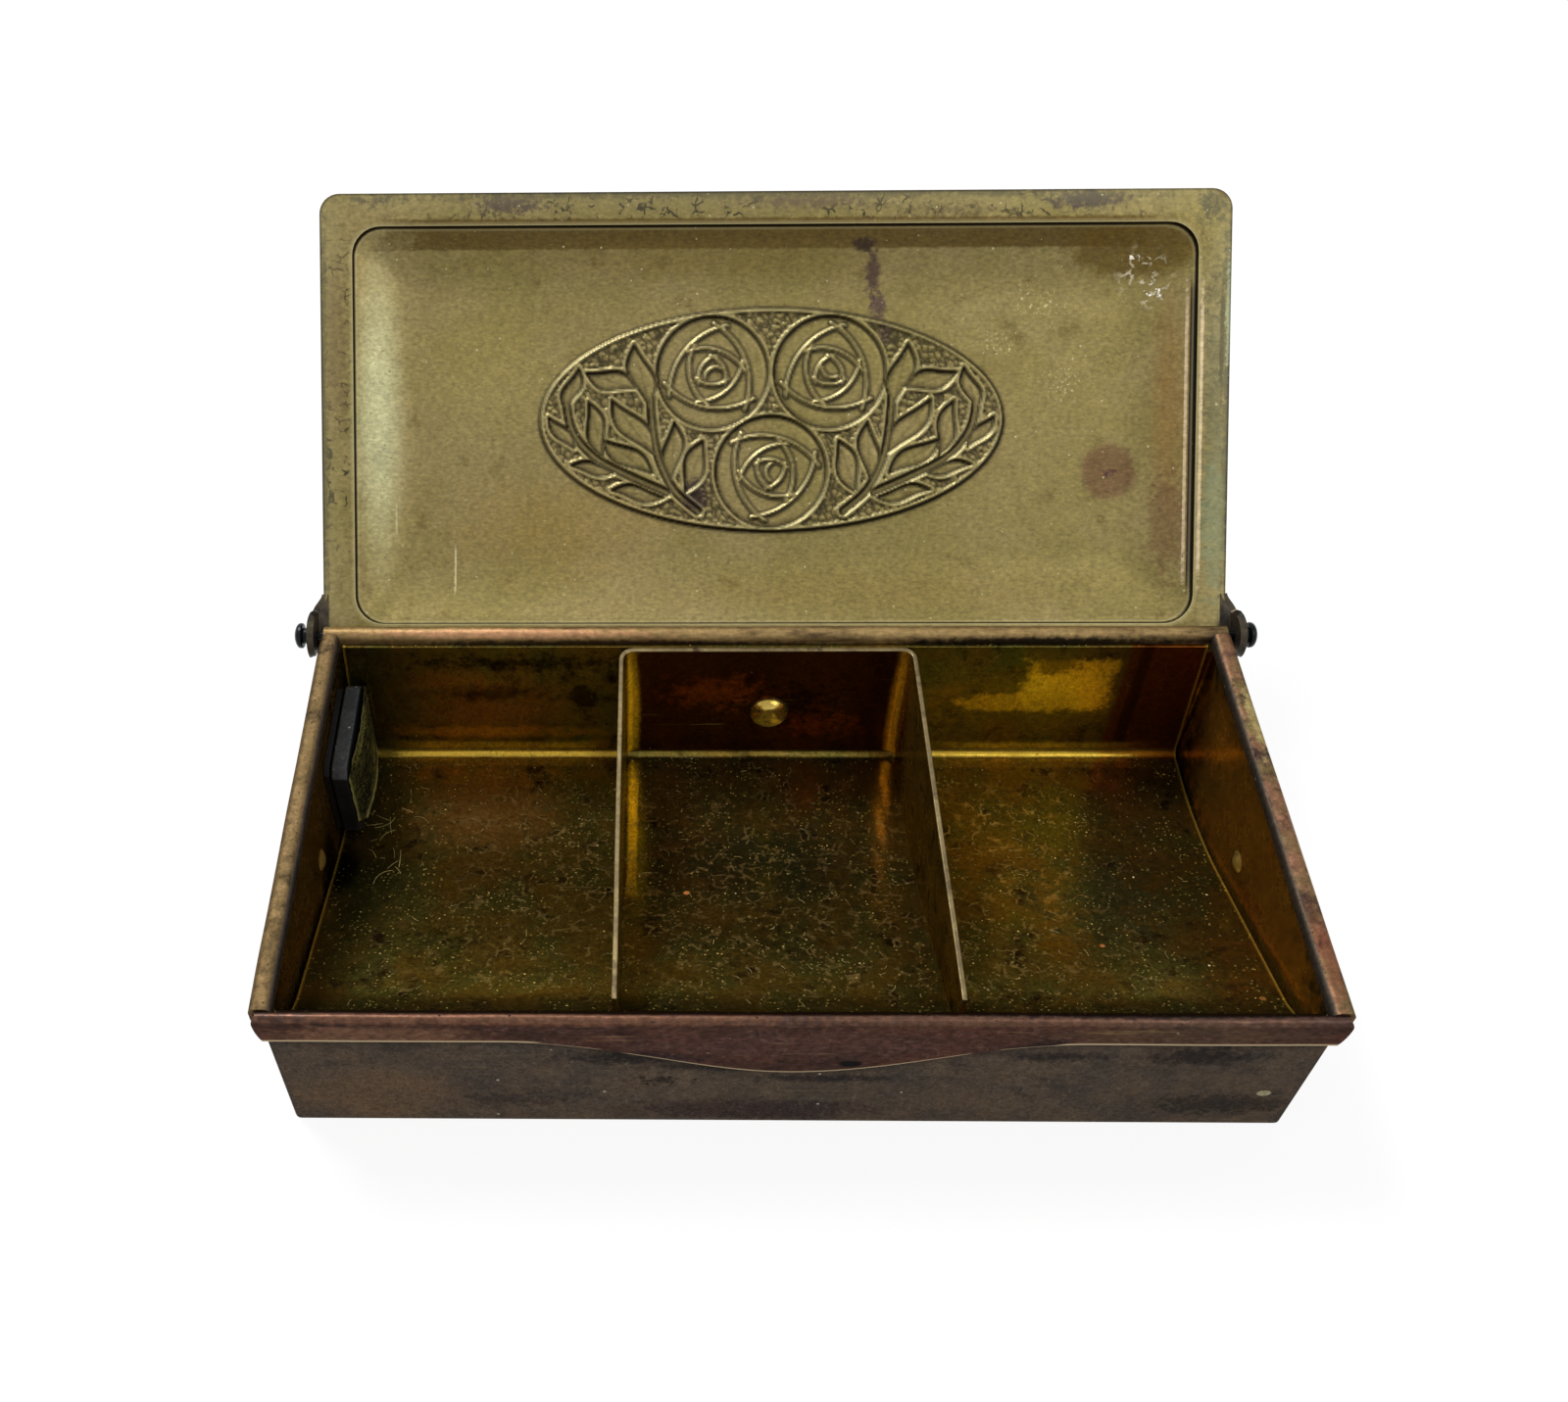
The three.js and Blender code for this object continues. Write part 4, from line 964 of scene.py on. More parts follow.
GOLDEN = Finish(
    name="bright sheet brass tarnished golden brown",
    # Glossy olive and orange-brown tarnish over brass, which mirrors the walls round it
    tones=("705a26", "5c5829", "2b1f10"),
    cloud=6, blotch=3.6, cover=0.4, mottle=0.6, depth=0.3, grain=0.36, dents=0.1, hairlines=0.4,
    # Dark in the hollows: painted shade at the tray's front edge and under the rims' lips; pale: painted
    # highlight along the tray's bend, pale lines at its sides and at the partition's foot
    metallic=0.92, roughness=(0.16, 0.32), edge="8a7a44", grime_and_shade="120a05", wear_and_highlight="d0a836",
    dust=(
        Dust(0.6, 0.3, 0.5, "66522a", True),
        Dust(0.8, 0.16, 0.4, "a88a4a", True),
        Dust(1.3, 0.11, 0.36, "c8a862", True),
        Dust(2.6, 0.07, 0.45, "f0dca8", True),
        Dust(7, 0.07, 0.4, "c8743c", True),
        Dust(4, 0.04, 0.4, "c8b070"),
    ),
    stains_and_light=(
        # Back plate, left
        StainAndLight((-38, 25.4, 9), (18, 1.2, 9), "824c20", 0.62, 1, 1.6, 1.2),
        StainAndLight((-42, 25.4, 15.5), (9, 1.2, 3.6), "8a5a24", 0.5, 0.9, 1.6, 1.2),
        StainAndLight((-36, 25.6, 13), (15, 1.2, 2.6), "1e1208", 0.72, 0.9, 1.8, 1.4, 0.1),
        StainAndLight((-30, 25.6, 19), (22, 1.2, 2), "15120c", 0.8, 0.9, 2.2, 1.2),
        StainAndLight((-24, 25.6, 12.5), (2.6, 1.2, 2.6), "1c0e06", 0.8, 0.4, 1.2, 0.9),
        StainAndLight((-36, 25.4, 5.4), (19, 1.4, 1.6), "c08424", 0.6, 0.7, 1.6, 1.2),
        # Back plate, right: a bright patch with a straight right edge
        StainAndLight((34, 25.4, 11), (16, 1.2, 9), "8a6c1c", 0.6, 0.6, 1.6, 1.4),
        Block((38.2, 25.5, 14.6), (6.4, 1.2, 5.4), "f2c032", 0.92, 0.25, 0.7),
        StainAndLight((31.5, 25.5, 11.4), (9, 1.2, 2), "e0ae2c", 0.8, 0.4, 1.4),
        StainAndLight((36, 25.5, 18.4), (5, 1.2, 2.4), "3a2c0e", 0.7, 0.5, 2.4, 1, 0.2),
        Block((52, 25.5, 12), (7.4, 1.2, 60), "70380c", 0.85, 0.08, 0.15),
        Block((47, 25.5, 12), (1, 1.2, 60), "2a1406", 0.6, 0.5, 0.6),
        # Painted highlight: glow along the bend
        Block((-36, 24.6, 2.2), (18, 1.7, 1.6), "d8b044", 0.85, 0.9, 0.6),
        Block((37, 24.6, 2.2), (18, 2, 1.5), "d4b444", 0.9, 0.9, 0.6),
        # Floor
        StainAndLight((-38, 14, 1), (14, 9, 5), "947440", 0.6, 0.9, 2.4, 1.8),
        StainAndLight((-30, 10, 1), (8, 10, 5), "5e4026", 0.4, 0.8, 3, 1, 0.5),
        StainAndLight((-50, -3, 5), (6, 14, 5), "4a4e26", 0.55, 0.6, 1.8, 1.4),
        StainAndLight((-38, -14, 6), (16, 8, 5), "201a0e", 0.72, 0.6, 2.2, 1.2),
        # Painted reflection of the front roll, orange-brown, on the tray's front sweep
        StainAndLight((-34, -25.2, 17), (14, 2.4, 3.4), "9c561c", 0.75, 0.6, 1.8),
        StainAndLight((12, -25.4, 17), (14, 2.2, 3.4), "7e4a1c", 0.7, 0.6, 1.8),
        StainAndLight((34, 12, 2), (16, 9, 5), "4c4e20", 0.6, 0.9, 1.6, 1.4),
        StainAndLight((38, -4, 4), (12, 13, 9), "4c5836", 0.55, 0.6, 1.8, 1.4),
        StainAndLight((24, 20.5, 1.2), (6, 3, 3), "cfc490", 0.8, 0.4, 3, 0.4, 0.9),
        StainAndLight((40, 13, 1.2), (4, 3, 3), "b8ac78", 0.8, 0.4, 3, 0.4, 0.8),
        StainAndLight((0, 21, 1.2), (15, 4, 3), "b4a060", 0.8, 0.4, 3, 0.4, 0.95),
        StainAndLight((-1, 4, 3), (13, 12, 8), "3a3c24", 0.65, 0.6, 1.6, 1.4),
        StainAndLight((-1, -12, 6), (16, 8, 5), "2a2414", 0.6, 0.6, 1.8, 1.4),
        StainAndLight((34, -20, 9), (15, 5, 5), "3a3016", 0.5, 0.6, 1.8, 1.4),
        # Gleam of the partition in the floor
        Block((-17.7, 6, 2), (0.8, 17, 5), "e8c43c", 0.9, 0.5, 0.8, 1.2),
        StainAndLight((-16.6, 0, 3), (2, 24, 7), "8c8428", 0.5, 0.9, 0.9, 1.2),
        StainAndLight((15.6, 19, 2), (0.8, 5.5, 4), "b48c40", 0.8, 0.8, 1.4, 0.8),
        StainAndLight((14.4, 12, 2), (0.9, 6, 4), "ac843c", 0.8, 0.8, 1.4, 0.8),
        StainAndLight((13.2, 3.5, 3), (1, 7, 4), "987638", 0.7, 0.8, 1.4, 0.8),
        # Inner faces of the side walls: painted reflections of the golden floor
        StainAndLight((56.2, 0, 12), (1.5, 40, 16), "c08c34", 0.85, 0.3, 1.2, 1.6),
        StainAndLight((56.2, 15, 15), (1.5, 11, 7), "f0a834", 0.85, 0.9, 1.2, 1.4),
        StainAndLight((56.2, -4, 9), (1.5, 10, 5), "7a4420", 0.5, 0.9, 1.8, 1.4),
        StainAndLight((-56.2, 0, 12), (1.5, 40, 16), "b08434", 0.8, 0.3, 1.2, 1.6),
        # Painted shadow of the pad, and dirt, in black on the left wall and the tray's edge
        StainAndLight((-54.4, 4, 5), (3.2, 6.5, 7), "070504", 0.9, 0.6, 0.8),
        Web((0, 0, 8), (56, 27.6, 14), "a48e56", 0.75),
    ),
)
STUD = Finish(
    name="polished brass stud",
    # Rubbed bright, so that it mirrors the box in small
    tones=("c4aa58", "a88e44", "5c4a20"),
    cloud=3, blotch=1.6, metallic=0.95, roughness=(0.12, 0.22),
)
LINT = Finish(
    name="lint and felt fibres",
    # Pale straw-coloured threads
    tones=("a0915e", "7c7046", "504830"),
    cloud=4, blotch=2, metallic=0, specular=0.2, roughness=(0.8, 0.9),
)


@dataclass
class Inside(Metalwork):
    """The liner tray, the partition and its rivet."""

    side_gap: float = 0.3
    taper: float = 0.9
    ramp_start: float = 40.8
    ramp_angle: float = 21.0
    ramp_bend: float = 50.0
    sweep_end: float = 80.0
    back_drop: float = 1.5
    back_bend: float = 1.4
    front_drop: float = 0.9
    strip_sheet: float = 0.6
    strip_left: float = -19.3
    strip_right: float = 17.9
    strip_drop: float = 1.5
    strip_front: float = 3.6
    strip_bend: float = 1.8
    foot_line: float = 0.4
    rivet_z: float = 10.5
    stud: float = 2.65
    stud_rise: float = 1.75
    cut_edge: float = 0.16
    worn_edge: float = 0.5
    lint_seed: int = 11
    lint_count: int = 360
    long_lint_count: int = 14

    def middle_line(self) -> list[Point]:
        """The tray seen from the side, on the sheet's middle: back plate, floor, ramp and sweep."""
        b = self.box
        half = b.tray_sheet / 2
        floor = b.tray_floor_z - half
        end_y = b.front_wall_y + b.sheet + b.sheet_fit + half
        end_z = b.height - self.front_drop
        ramp_y = b.front_y + self.ramp_start
        a, e = math.radians(self.ramp_angle), math.radians(self.sweep_end)
        slope = math.tan(a)
        across, rise = math.sin(e) - math.sin(a), math.cos(a) - math.cos(e)
        radius = (end_z - floor - (ramp_y - end_y) * slope) / (rise - across * slope)
        sweep_y = end_y + radius * across
        centre = (sweep_y + radius * math.sin(a), floor + (ramp_y - sweep_y) * slope + radius * math.cos(a))
        reach = self.ramp_bend * math.tan(a / 2)
        plate = b.tray_back_y + half
        bent = (plate, floor, self.back_bend)
        back = rounded([(plate, b.height - self.back_drop), bent, (ramp_y + reach, floor)])
        bend = arc((ramp_y + reach, floor + self.ramp_bend), self.ramp_bend, -90, -90 - self.ramp_angle, 8)
        sweep = arc(centre, radius, -90 - self.ramp_angle, -90 - self.sweep_end, 12)
        return back + bend[1:] + sweep

    def tray(self) -> Shape:
        """The tray, narrowing upwards to pass the rims."""
        b = self.box
        half = b.wall_x - b.sheet - self.side_gap
        bm = bmesh.new()
        line = [Vector((-half, y, z)) for y, z in self.middle_line()]
        faces = self.carry(bm, line, Vector((2 * half, 0, 0)), 44)
        step = 2 * half / 44
        for v in bm.verts:
            if abs(abs(v.co.x / MM) - (half - step)) < 0.1:
                v.co.x = math.copysign((half - self.worn_edge) * MM, v.co.x)
        low = b.tray_floor_z + self.back_bend
        for v in bm.verts:
            share = min(max((v.co.z / MM - low) / (b.wall_top - low), 0.0), 1.0)
            v.co.x *= 1 - self.taper * share / half
        self.thicken(bm, faces, b.tray_sheet)
        self.mark(bm, 1, lambda face: abs(face.normal.x) > 0.9)
        cuts = [e for e in bm.edges if sorted(f.material_index for f in e.link_faces) == [0, 1]]
        edge = {"offset": self.cut_edge * MM, "segments": 2, "profile": 0.5}
        bmesh.ops.bevel(bm, geom=cuts, **edge, affect="EDGES", material=1)
        # Painted highlight along the bend, pale lines at the sides
        self.shade(bm, "wear_and_highlight", self.highlight_and_wear_at)
        # Painted shade at the front edge, behind the front wall's fold
        self.shade(bm, "hollow", self.painted_shade_at)
        self.waver(bm, 0.05, 10.0, 23.0)
        return bm

    def painted_shade_at(self, place: Vector) -> float:
        """How much painted shade darkens the tray at its front edge, which hides behind the front wall's
        fold.
        """
        b = self.box
        return min((place.z - (b.height - 3.4)) / 1.6, (b.front_wall_y + 2.6 - place.y) / 1.0)

    def highlight_and_wear_at(self, place: Vector) -> float:
        """How pale the tray is: a painted highlight along its bend, weaker in the middle, and a pale line at
        its sides.
        """
        b = self.box
        half = b.wall_x - b.sheet - self.side_gap
        low = b.tray_floor_z + self.back_bend
        reach = half - self.taper * min(max((place.z - low) / (b.wall_top - low), 0.0), 1.0)
        if self.painted_shade_at(place) > 0:
            return 0.0
        if reach - abs(place.x) < self.worn_edge * 0.6:
            return 0.7 + 0.5 * noise.noise(Vector((place.y / 4, place.x, 0)))
        off = math.hypot(place.y - (b.tray_back_y - 0.3), place.z - (b.tray_floor_z + 0.3))
        middle = self.strip_left < place.x < self.strip_right
        uneven = 0.6 + 0.5 * noise.noise(Vector((place.x / 3, 0, 0)))
        return (1 - off / 0.9) * uneven * (0.12 if middle else 0.9)

    def strip(self) -> Shape:
        """The partition strip: a U in plan whose lower edge follows the tray."""
        b = self.box
        half = self.strip_sheet / 2
        back = b.tray_back_y - b.sheet_fit - half
        front = b.front_y + self.strip_front
        left, right = self.strip_left + half, self.strip_right - half
        bend = self.strip_bend - half
        plan = rounded([(left, front), (left, back, bend), (right, back, bend), (right, front)])
        dense: list[Point] = []
        for (x0, y0), (x1, y1) in zip(plan, plan[1:]):
            count = max(1, round(math.dist((x0, y0), (x1, y1)) / 1.5))
            dense += [(x0 + (x1 - x0) * i / count, y0 + (y1 - y0) * i / count) for i in range(count)]
        dense.append(plan[-1])
        top = b.height - self.strip_drop
        bm = bmesh.new()
        rows = 8
        line = [Vector((x, y, 0)) for x, y in dense]
        faces = self.carry(bm, line, Vector((0, 0, 1)), rows)
        for v in bm.verts:
            foot = self.floor_at(v.co.y / MM) + 0.1
            if v.co.y / MM > b.tray_back_y - self.back_bend:
                foot = max(foot, b.tray_floor_z + 1.2)
            share = v.co.z / MM
            raised = min(share * rows, 1.0) * self.foot_line
            rise = (top - foot - self.foot_line) * max(share * rows - 1, 0.0) / (rows - 1)
            v.co.z = (foot + raised + rise) * MM
        self.thicken(bm, faces, self.strip_sheet)
        self.shade(bm, "wear_and_highlight", self.foot_paling)
        self.waver(bm, 0.05, 14.0, 31.0)
        self.mark(bm, 1, lambda face: face.normal.z > 0.8)
        return bm

    def foot_paling(self, place: Vector) -> float:
        """How much paler the partition is along its legs' foot."""
        if place.y >= self.box.tray_back_y - 2.6:
            return 0.0
        return 0.9 - (place.z - self.floor_at(place.y)) / (self.foot_line + 0.15)

    def rivet(self) -> Shape:
        """The domed stud, its shank and the small tail behind the back wall."""
        b = self.box
        face = b.tray_back_y - b.sheet_fit - self.strip_sheet
        grip = b.back_inner_y + b.sheet - face
        turns = [math.radians(a) for a in range(0, 91, 9)]
        dome = [(self.stud * math.sin(a), -self.stud_rise * math.cos(a)) for a in turns]
        profile = dome + [(1.0, 0.0), (1.0, grip), (1.7, grip), (1.36, grip + 0.42), (0.0, grip + 0.6)]
        bm = bmesh.new()
        self.turned(bm, profile, Vector((0, face - 0.02, self.rivet_z)), Vector((0, 1, 0)))
        outside = (b.back_inner_y + b.sheet - 0.05) * MM
        self.mark(bm, 1, lambda part: part.calc_center_median().y > outside)
        return bm

    def floor_at(self, y: float) -> float:
        """Height of the tray's upper face at a distance along the box."""
        floor = sorted(self.middle_line()[7:])
        return float(np.interp(y, [p[0] for p in floor], [p[1] for p in floor])) + self.box.tray_sheet / 2

    def lint(self) -> Shape:
        """Short loose fibres on the tray, and longer ones by the pad."""
        draw = random.Random(self.lint_seed)
        bm = bmesh.new()
        spots = []
        for _ in range(self.lint_count):
            spots.append((draw.uniform(-52, 52), draw.uniform(-21, 23), 0.2 + draw.random() ** 3 * 1.2))
        for _ in range(self.long_lint_count):
            spots.append((draw.uniform(-50.5, -46), draw.uniform(2, 20), draw.uniform(1.5, 3.6)))
        legs = (self.strip_left + 0.3, self.strip_right - 0.3)
        for x, y, length in spots:
            heading, bend = draw.uniform(0, 2 * math.pi), draw.uniform(-1.6, 1.6)
            rise = draw.uniform(0.0, 0.12) * length
            if min(abs(x - leg) for leg in legs) < length + 0.8:
                continue
            line = []
            for i in range(7):
                t = i / 6
                line.append(Vector((x, y, self.floor_at(y) + 0.1 + rise * math.sin(math.pi * t))))
                x += length / 6 * math.cos(heading + bend * t)
                y += length / 6 * math.sin(heading + bend * t)
            self.tube(bm, line, draw.uniform(0.016, 0.03) * (1.6 if length > 1.5 else 1.0))
        return bm

    def build(self, inside: Material, bare: Material) -> None:
        """Builds and dresses the inside.

        Args:
            inside: Finish of the tray and the strip.
            bare: Finish of cut edges.
        """
        b = self.box
        middle = (self.strip_left + self.strip_right) / 2
        back = b.tray_back_y - 0.5
        stains_and_light = (
            Block((middle, back, 11), (17, 1.2, 16), "3a1a08", 0.95, 0.06, 0.1, 2.2),
            StainAndLight((middle - 6, back, 14), (10, 1.2, 5), "8a4412", 0.7, 0.6, 2.2, 1.4, 0.2),
            StainAndLight((middle + 8, back, 8), (8, 1.2, 5), "7c3a10", 0.7, 0.6, 2.2, 1.4, 0.2),
            StainAndLight((middle + 4, back, 12), (12, 1.2, 8), "0e0703", 0.6, 0.6, 2.4, 1.2, 0.3),
            # Painted highlights: golden gleam on the legs' inner faces near the back bend
            StainAndLight((self.strip_right - 1, back - 0.6, 11), (1.7, 2.2, 14), "e0a83a", 0.9, 0.5, 0.5, 2.2),
            StainAndLight((self.strip_left + 1.2, back - 0.6, 11), (1.7, 2.2, 14), "d8b43a", 0.9, 0.5, 0.5, 2.2),
            StainAndLight((0, 0, 11), (19, 20, 14), "5c3a16", 0.7, 0.3, 1.6, 1.6, 0.1),
        )
        golden = {"name": "sheet brass partition, golden", "tones": ("ac842c", "80661f", "46300f")}
        strip = replace(GOLDEN, **golden, stains_and_light=stains_and_light).build()
        dulled = ("857550", "6a5c40", "403424")
        cut_edge = replace(BARE_EDGE, name="dulled cut edge of the partition", tones=dulled).build()
        stud, fibres = STUD.build(), LINT.build()
        dull = replace(WALL, name="brass rivet tail, dark as the wall", stains_and_light=()).build()
        made = [
            ("liner_sheet", self.tray(), [inside, bare], Slot.INSIDE, ["liner_tray"], 0.06, 0),
            ("divider_strip", self.strip(), [strip, cut_edge], Slot.INSIDE, ["partition_strip"], 0.14, 1),
            ("divider_stud", self.rivet(), [stud, dull], Slot.INSIDE, ["partition_rivet"]),
            ("loose_lint", self.lint(), [fibres], Slot.FELT, []),
        ]
        for name, bm, finishes, slot, nodes, *edge in made:
            self.dress(name, bm, finishes, Body.CASE, slot, nodes, *edge)


@dataclass(frozen=True)
class Petals:
    """A ring of a rose's petals, sized in shares of the rose's radius.

    Args:
        count: Petals in the ring.
        radius: Radius of each petal's edge.
        offset: How far each edge's centre lies from the rose's middle.
        turn: Where the first petal faces, in degrees from the rose's own turn.
        sweep: Angle of each edge.
    """

    count: int
    radius: float
    offset: float
    turn: float
    sweep: float


@dataclass(frozen=True)
class Leaf:
    """A leaf of a spray, from foot to tip, swelling by half and bent by bow, in millimetres."""

    foot: Point
    tip: Point
    half: float
    bow: float


@dataclass
class Relief:
    """The embossed oval: three round roses and leaf sprays on a pebbled ground.

    Heights are over the panel's inner face. Places are in millimetres in the lid's own plane,
    x along the lid and y away from the hinge, from the oval's middle.
    """

    half_length: float = 29.5
    half_height: float = 14.1
    rose: float = 7.1
    ground: float = 0.4
    ridge: float = 0.34
    ridge_half: float = 0.22
    stem_half: float = 0.45
    soft: float = 0.3
    roses: tuple[tuple[Point, float], ...] = (((-7.45, 6.0), 20.0), ((7.45, 6.0), 140.0), ((0.0, -6.6), 75.0))
    rings: tuple[Petals, ...] = (
        Petals(3, 1.25, -0.62, 0, 81),
        Petals(3, 0.85, -0.44, 52, 80),
        Petals(3, 0.42, -0.2, 8, 84),
        Petals(1, 0.2, -0.12, 100, 110),
    )
    stems: tuple[tuple[Point, ...], ...] = (
        ((9.3, -11.6), (12.4, -8.8), (14.4, -4.6), (15.2, 0.2), (15.4, 4.8)),
        ((13.2, -9.2), (18.4, -6.9), (22.6, -4.6), (25.4, -1.2), (26.2, 3.0)),
    )
    leaves: tuple[Leaf, ...] = (
        Leaf((10.9, -9.2), (8.6, -2.6), 1.4, 0.25),
        Leaf((12.7, -7.6), (12.3, -0.3), 1.3, -0.3),
        Leaf((14.9, -4.4), (20.3, 2.6), 1.5, 0.4),
        Leaf((15, -6.9), (21.6, -2.4), 1.3, 0.35),
        Leaf((13.4, -9.8), (20.4, -8.9), 0.95, -0.3),
        Leaf((15.6, 1.8), (17.4, 9.6), 1.5, 0.4),
        Leaf((17, 4), (23.6, 6), 1.3, 0.35),
        Leaf((21.4, -4.7), (23.3, 2.4), 1.2, -0.35),
        Leaf((19.6, -6.6), (25.6, -5.7), 0.8, -0.2),
        Leaf((25, -3.6), (28.4, 0.4), 0.9, 0.2),
        Leaf((26.3, 1.2), (24.5, 6.6), 1, -0.3),
    )

    def petals(self) -> list[list[Point]]:
        """Middle lines of the petals' ridges."""
        lines: list[list[Point]] = []
        for (x, y), turn in self.roses:
            for ring in self.rings:
                for i in range(ring.count):
                    facing = turn + ring.turn + 360 * i / ring.count
                    a, reach = math.radians(facing), ring.offset * self.rose
                    centre = (x + reach * math.cos(a), y + reach * math.sin(a))
                    half = ring.sweep / 2
                    lines.append(arc(centre, ring.radius * self.rose, facing - half, facing + half, 14))
        return lines

    @staticmethod
    def between(p: float, q: float, r: float, s: float, t: float) -> float:
        """A smooth value from q to r at a share t, led by their neighbours p and s."""
        bend = 2 * p - 5 * q + 4 * r - s + t * (3 * (q - r) + s - p)
        return q + 0.5 * t * (r - p + t * bend)

    @staticmethod
    def stem_line(points: Sequence[Point], side: int) -> list[Point]:
        """A smooth line through a stem's points, on one side of the oval."""
        ends = [points[0], *points, points[-1]]
        line: list[Point] = []
        for a, b, c, d in zip(ends, ends[1:], ends[2:], ends[3:]):
            for i in range(6):
                t = i / 6
                x, y = (Relief.between(*values, t) for values in zip(a, b, c, d))
                line.append((side * x, y))
        return line + [(side * points[-1][0], points[-1][1])]

    @staticmethod
    def leaf_outline(leaf: Leaf, side: int) -> list[Point]:
        """A leaf's closed outline, swelling from its foot and drawn to a bent tip."""
        foot, tip = Vector((side * leaf.foot[0], leaf.foot[1])), Vector((side * leaf.tip[0], leaf.tip[1]))
        run = tip - foot
        across = Vector((-run.y, run.x)).normalized()
        steps = 14
        sides: tuple[list[Point], list[Point]] = ([], [])
        for i in range(1, steps):
            t = i / steps
            middle = foot + run * t + across * (side * leaf.bow * math.sin(2 * math.pi * t))
            swell = leaf.half * math.sin(math.pi * t)
            sides[0].append(tuple(middle + across * swell))
            sides[1].append(tuple(middle - across * swell))
        return [tuple(foot), *sides[0], tuple(tip), *sides[1][::-1]]

    @staticmethod
    def distance_to(points: np.ndarray, line: Sequence[Point]) -> np.ndarray:
        """Distance from each point to a line of points, in millimetres."""
        best = np.full(len(points), 1e9)
        for a, b in zip(line, line[1:]):
            a, b = np.array(a), np.array(b)
            run = b - a
            t = np.clip(((points - a) @ run) / max(run @ run, 1e-9), 0, 1)
            best = np.minimum(best, np.hypot(*(points - a - t[:, None] * run).T))
        return best

    @classmethod
    def outside(cls, points: np.ndarray, outline: Sequence[Point]) -> np.ndarray:
        """Signed distance to a closed outline, negative inside."""
        closed = [*outline, outline[0]]
        odd = np.zeros(len(points), bool)
        x, y = points.T
        for (x0, y0), (x1, y1) in zip(closed, closed[1:]):
            crosses = (y0 > y) != (y1 > y)
            if y1 != y0:
                odd ^= crosses & (x < (x1 - x0) * (y - y0) / (y1 - y0) + x0)
        distance = cls.distance_to(points, closed)
        return np.where(odd, -distance, distance)

    def heights(self, points: np.ndarray) -> tuple[np.ndarray, np.ndarray, np.ndarray]:
        """The relief over a set of points.

        Args:
            points: N by 2, in millimetres from the oval's middle.

        Returns:
            The height in millimetres, and at each point the shares of darkening in the crevices beside the
            ridges and round the motifs, and of pale on the crests, which is wear and painted highlight.
        """
        step = lambda v: np.clip(v, 0, 1) ** 2 * (3 - 2 * np.clip(v, 0, 1))
        band = lambda v, middle, width: np.exp(-(((v - middle) / width) ** 2))
        turns = np.linspace(0, 2 * math.pi, 97)[:-1]
        oval = [(self.half_length * math.cos(a), self.half_height * math.sin(a)) for a in turns]
        inside = -self.outside(points, oval)
        motif = veins = petal = np.full(len(points), 1e9)
        for (x, y), _ in self.roses:
            motif = np.minimum(motif, np.hypot(points[:, 0] - x, points[:, 1] - y) - self.rose)
        for side in (-1, 1):
            for stem in self.stems:
                away = self.distance_to(points, self.stem_line(stem, side))
                motif = np.minimum(motif, away - self.stem_half)
            for leaf in self.leaves:
                motif = np.minimum(motif, self.outside(points, self.leaf_outline(leaf, side)))
                line = [(side * leaf.foot[0], leaf.foot[1]), (side * leaf.tip[0], leaf.tip[1])]
                veins = np.minimum(veins, self.distance_to(points, line))
        ring = np.minimum(inside, motif)
        ground = step(ring / self.soft + 0.5)
        cell = np.array([self.pebble(x, y) for x, y in points])
        pebbled = step((ring - 0.45) / 0.18)
        height = self.ground * ground + 0.1 * band(ring, 0.34, 0.2) * ground
        height = height + pebbled * (cell * 0.22 - 0.2)
        for line in self.petals():
            petal = np.minimum(petal, self.distance_to(points, line))
        flat = (motif < 0) & (inside > 0)
        ridge = band(petal, 0.0, self.ridge_half) * self.ridge
        height = np.where(flat, np.maximum(height, ridge), height)
        height = height + flat * 0.1 * step((-motif - 0.2) / 0.5)
        hollows = [
            band(ring, -0.16, 0.24) * (inside > -0.5),
            band(petal, 0.43, 0.18) * flat,
            band(veins, 0.0, 0.14) * flat * 0.35,
            pebbled * np.clip(1.15 - cell * 2.2, 0, 1),
            band(ring, 0.66, 0.12) * 0.4,
        ]
        beside = np.maximum.reduce(hollows)
        # Pale crests of the ring and petals: wear and painted highlight
        rubbed = np.maximum(band(ring, 0.3, 0.16) * (inside > 0) * (motif > 0), band(petal, 0.0, 0.2) * flat)
        wear_and_highlight = np.maximum(rubbed, np.clip((height - 0.36) / 0.1, 0, 1) * 0.5)
        return height, np.clip(beside, 0, 1) * 0.82, wear_and_highlight * 0.6

    @staticmethod
    def pebble(x: float, y: float) -> float:
        """Height share of the hammered ground, from 0 between pebbles to about 1 on one."""
        nearest = noise.voronoi(Vector((x, y, 0.0)) / 0.85)[0]
        return min((nearest[1] - nearest[0]) * 1.6, 1.0)


